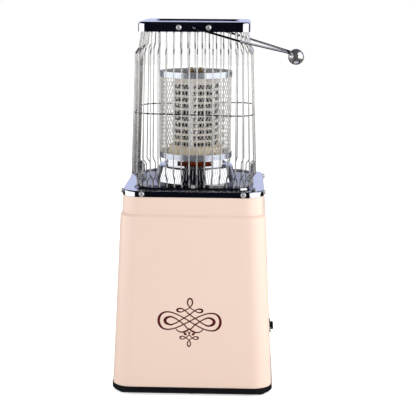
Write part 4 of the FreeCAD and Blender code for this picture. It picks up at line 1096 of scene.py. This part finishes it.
eight = []
for k in range(EIGHT_POINTS):
    t = 2 * math.pi * k / EIGHT_POINTS
    width = 1.0 + EIGHT_SWELL * abs(math.sin(t)) ** 6
    eight.append((EIGHT_REACH * math.sin(t), EIGHT_RISE * math.sin(2 * t), width))
knot_half = [
    (0, -11.6, 1.1), (8.2, -5.0, 1.0), (15.2, 0, 1.0), (21.8, 4.0, 1.1), (29.2, 5.9, 1.5), (36.2, 0, 2.7),
    (29.2, -5.9, 1.5), (21.8, -4.0, 1.1), (15.2, 0, 1.0), (7.7, 5.1, 1.0), (0, 10.2, 1.0), (-7.4, 16.2, 0.9),
    (-13.5, 18.9, 1.2), (-18.6, 16.4, 1.7), (-13.8, 13.6, 1.0), (-7.4, 16.2, 0.9), (0, 21.2, 0.9),
    (3.6, 28.5, 1.2), (0, 34.2, 1.4),
]
tail_half = [
    (0, -21.3, 0.8), (-5.0, -24.9, 0.8), (-10.3, -27.1, 0.9), (-13.4, -24.7, 1.3), (-9.5, -22.8, 0.9),
    (-5.0, -24.9, 0.8), (0, -28.9, 0.8), (2.3, -33.8, 1.0), (0, -37.8, 1.2),
]
swag = [(20.1, -11.6, 0.8), (16.7, -15.0, 0.9), (11.5, -16.6, 1.1), (5.5, -15.2, 1.6), (0, -11.6, 0.9)]
curl = [(5.5, -15.2, 0.9), (7.3, -17.2, 1.1), (6.1, -19.6, 1.6), (3.9, -19.2, 2.0)]
stem = [(1.9, -15.4, 0.8), (0.3, -18.4, 0.9), (0, -21.3, 0.8)]


def mirrored(points):
    return [(-x, y, width) for x, y, width in points]


def closed_by_mirror(half):
    """Half a closed stroke, from axis to axis, and its mirror image back again."""
    return half + mirrored(half[1:-1])[::-1]


strokes = [(eight, True), (closed_by_mirror(knot_half), True), (closed_by_mirror(tail_half), True)]
strokes += [(half, False) for part in (swag, curl, stem) for half in (part, mirrored(part))]
print("strokes:", len(strokes))

# %% [markdown]
# The strokes become curves that run smoothly through their points, with the width as the radius of each
# point. Straight lines between more points would show their corners where the pen turns.

# %% Ink curves
NIB = 1.75 * MM

ink_curves = bpy.data.curves.new("flourish", "CURVE")
ink_curves.dimensions = "3D"
for points, closed in strokes:
    spline = ink_curves.splines.new("BEZIER")
    spline.bezier_points.add(len(points) - 1)
    spline.use_cyclic_u = closed
    spline.resolution_u = 8
    for knot, (x, y, width) in zip(spline.bezier_points, points):
        knot.co = (x * MM, y * MM, 0)
        knot.radius = width * NIB
        knot.handle_left_type = "AUTO"
        knot.handle_right_type = "AUTO"
print("curve points:", sum(len(spline.bezier_points) for spline in ink_curves.splines))

# %% [markdown]
# A tree sweeps a thin flat nib along the curves, as wide as each point asks, and lays the print on the
# sloping front. A picture on the enamel would do the same from afar, but swept strokes stay sharp close up.

# %% Flourish
FLOURISH_X = -3.0 * MM
FLOURISH_Z = 113.5 * MM
FLOURISH_TILT = math.radians(-1.2)
NIB_THICKNESS = 0.08
SHELL_STEP_Z = 267.5 * MM
SHELL_STEP_HALF = 107.3 * MM

shell_low, shell_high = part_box("body_shell")
shell_lean = math.atan2(shell_high.x - SHELL_STEP_HALF, SHELL_STEP_Z - shell_low.z)
flourish_y = -shell_high.x + (FLOURISH_Z - shell_low.z) * math.tan(shell_lean)
on_front = Matrix.Rotation(math.pi / 2 - shell_lean, 3, "X") @ Matrix.Rotation(FLOURISH_TILT, 3, "Z")
ink = finish("red_brown_ink", (0.085, 0.003, 0.005), (0.110, 0.005, 0.008), rough=(0.45, 0.6),
             scales=(120, 150, 2500), microns=10, Specular_IOR_Level=0.15)

tree, given = geometry_tree("pen_strokes", Turn="Rotation", Place="Vector")
level = add_node(tree, "GeometryNodeSetCurveNormal", {"mode": "Z_UP"}, Curve=given["Geometry"])
nib = add_node(tree, "GeometryNodeCurvePrimitiveQuadrilateral", Width=1.0, Height=NIB_THICKNESS)
inked = swept(level, nib, Scale=add_node(tree, "GeometryNodeInputRadius"))
laid = add_node(tree, "GeometryNodeTransform", Geometry=inked, Translation=given["Place"],
                Rotation=given["Turn"])
close_tree(given, laid, smooth=False)
flourish = grown("printed_flourish", ink_curves, tree, Turn=on_front.to_euler(),
                 Place=(FLOURISH_X, flourish_y, FLOURISH_Z), Finish=ink)
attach(flourish, "heater")
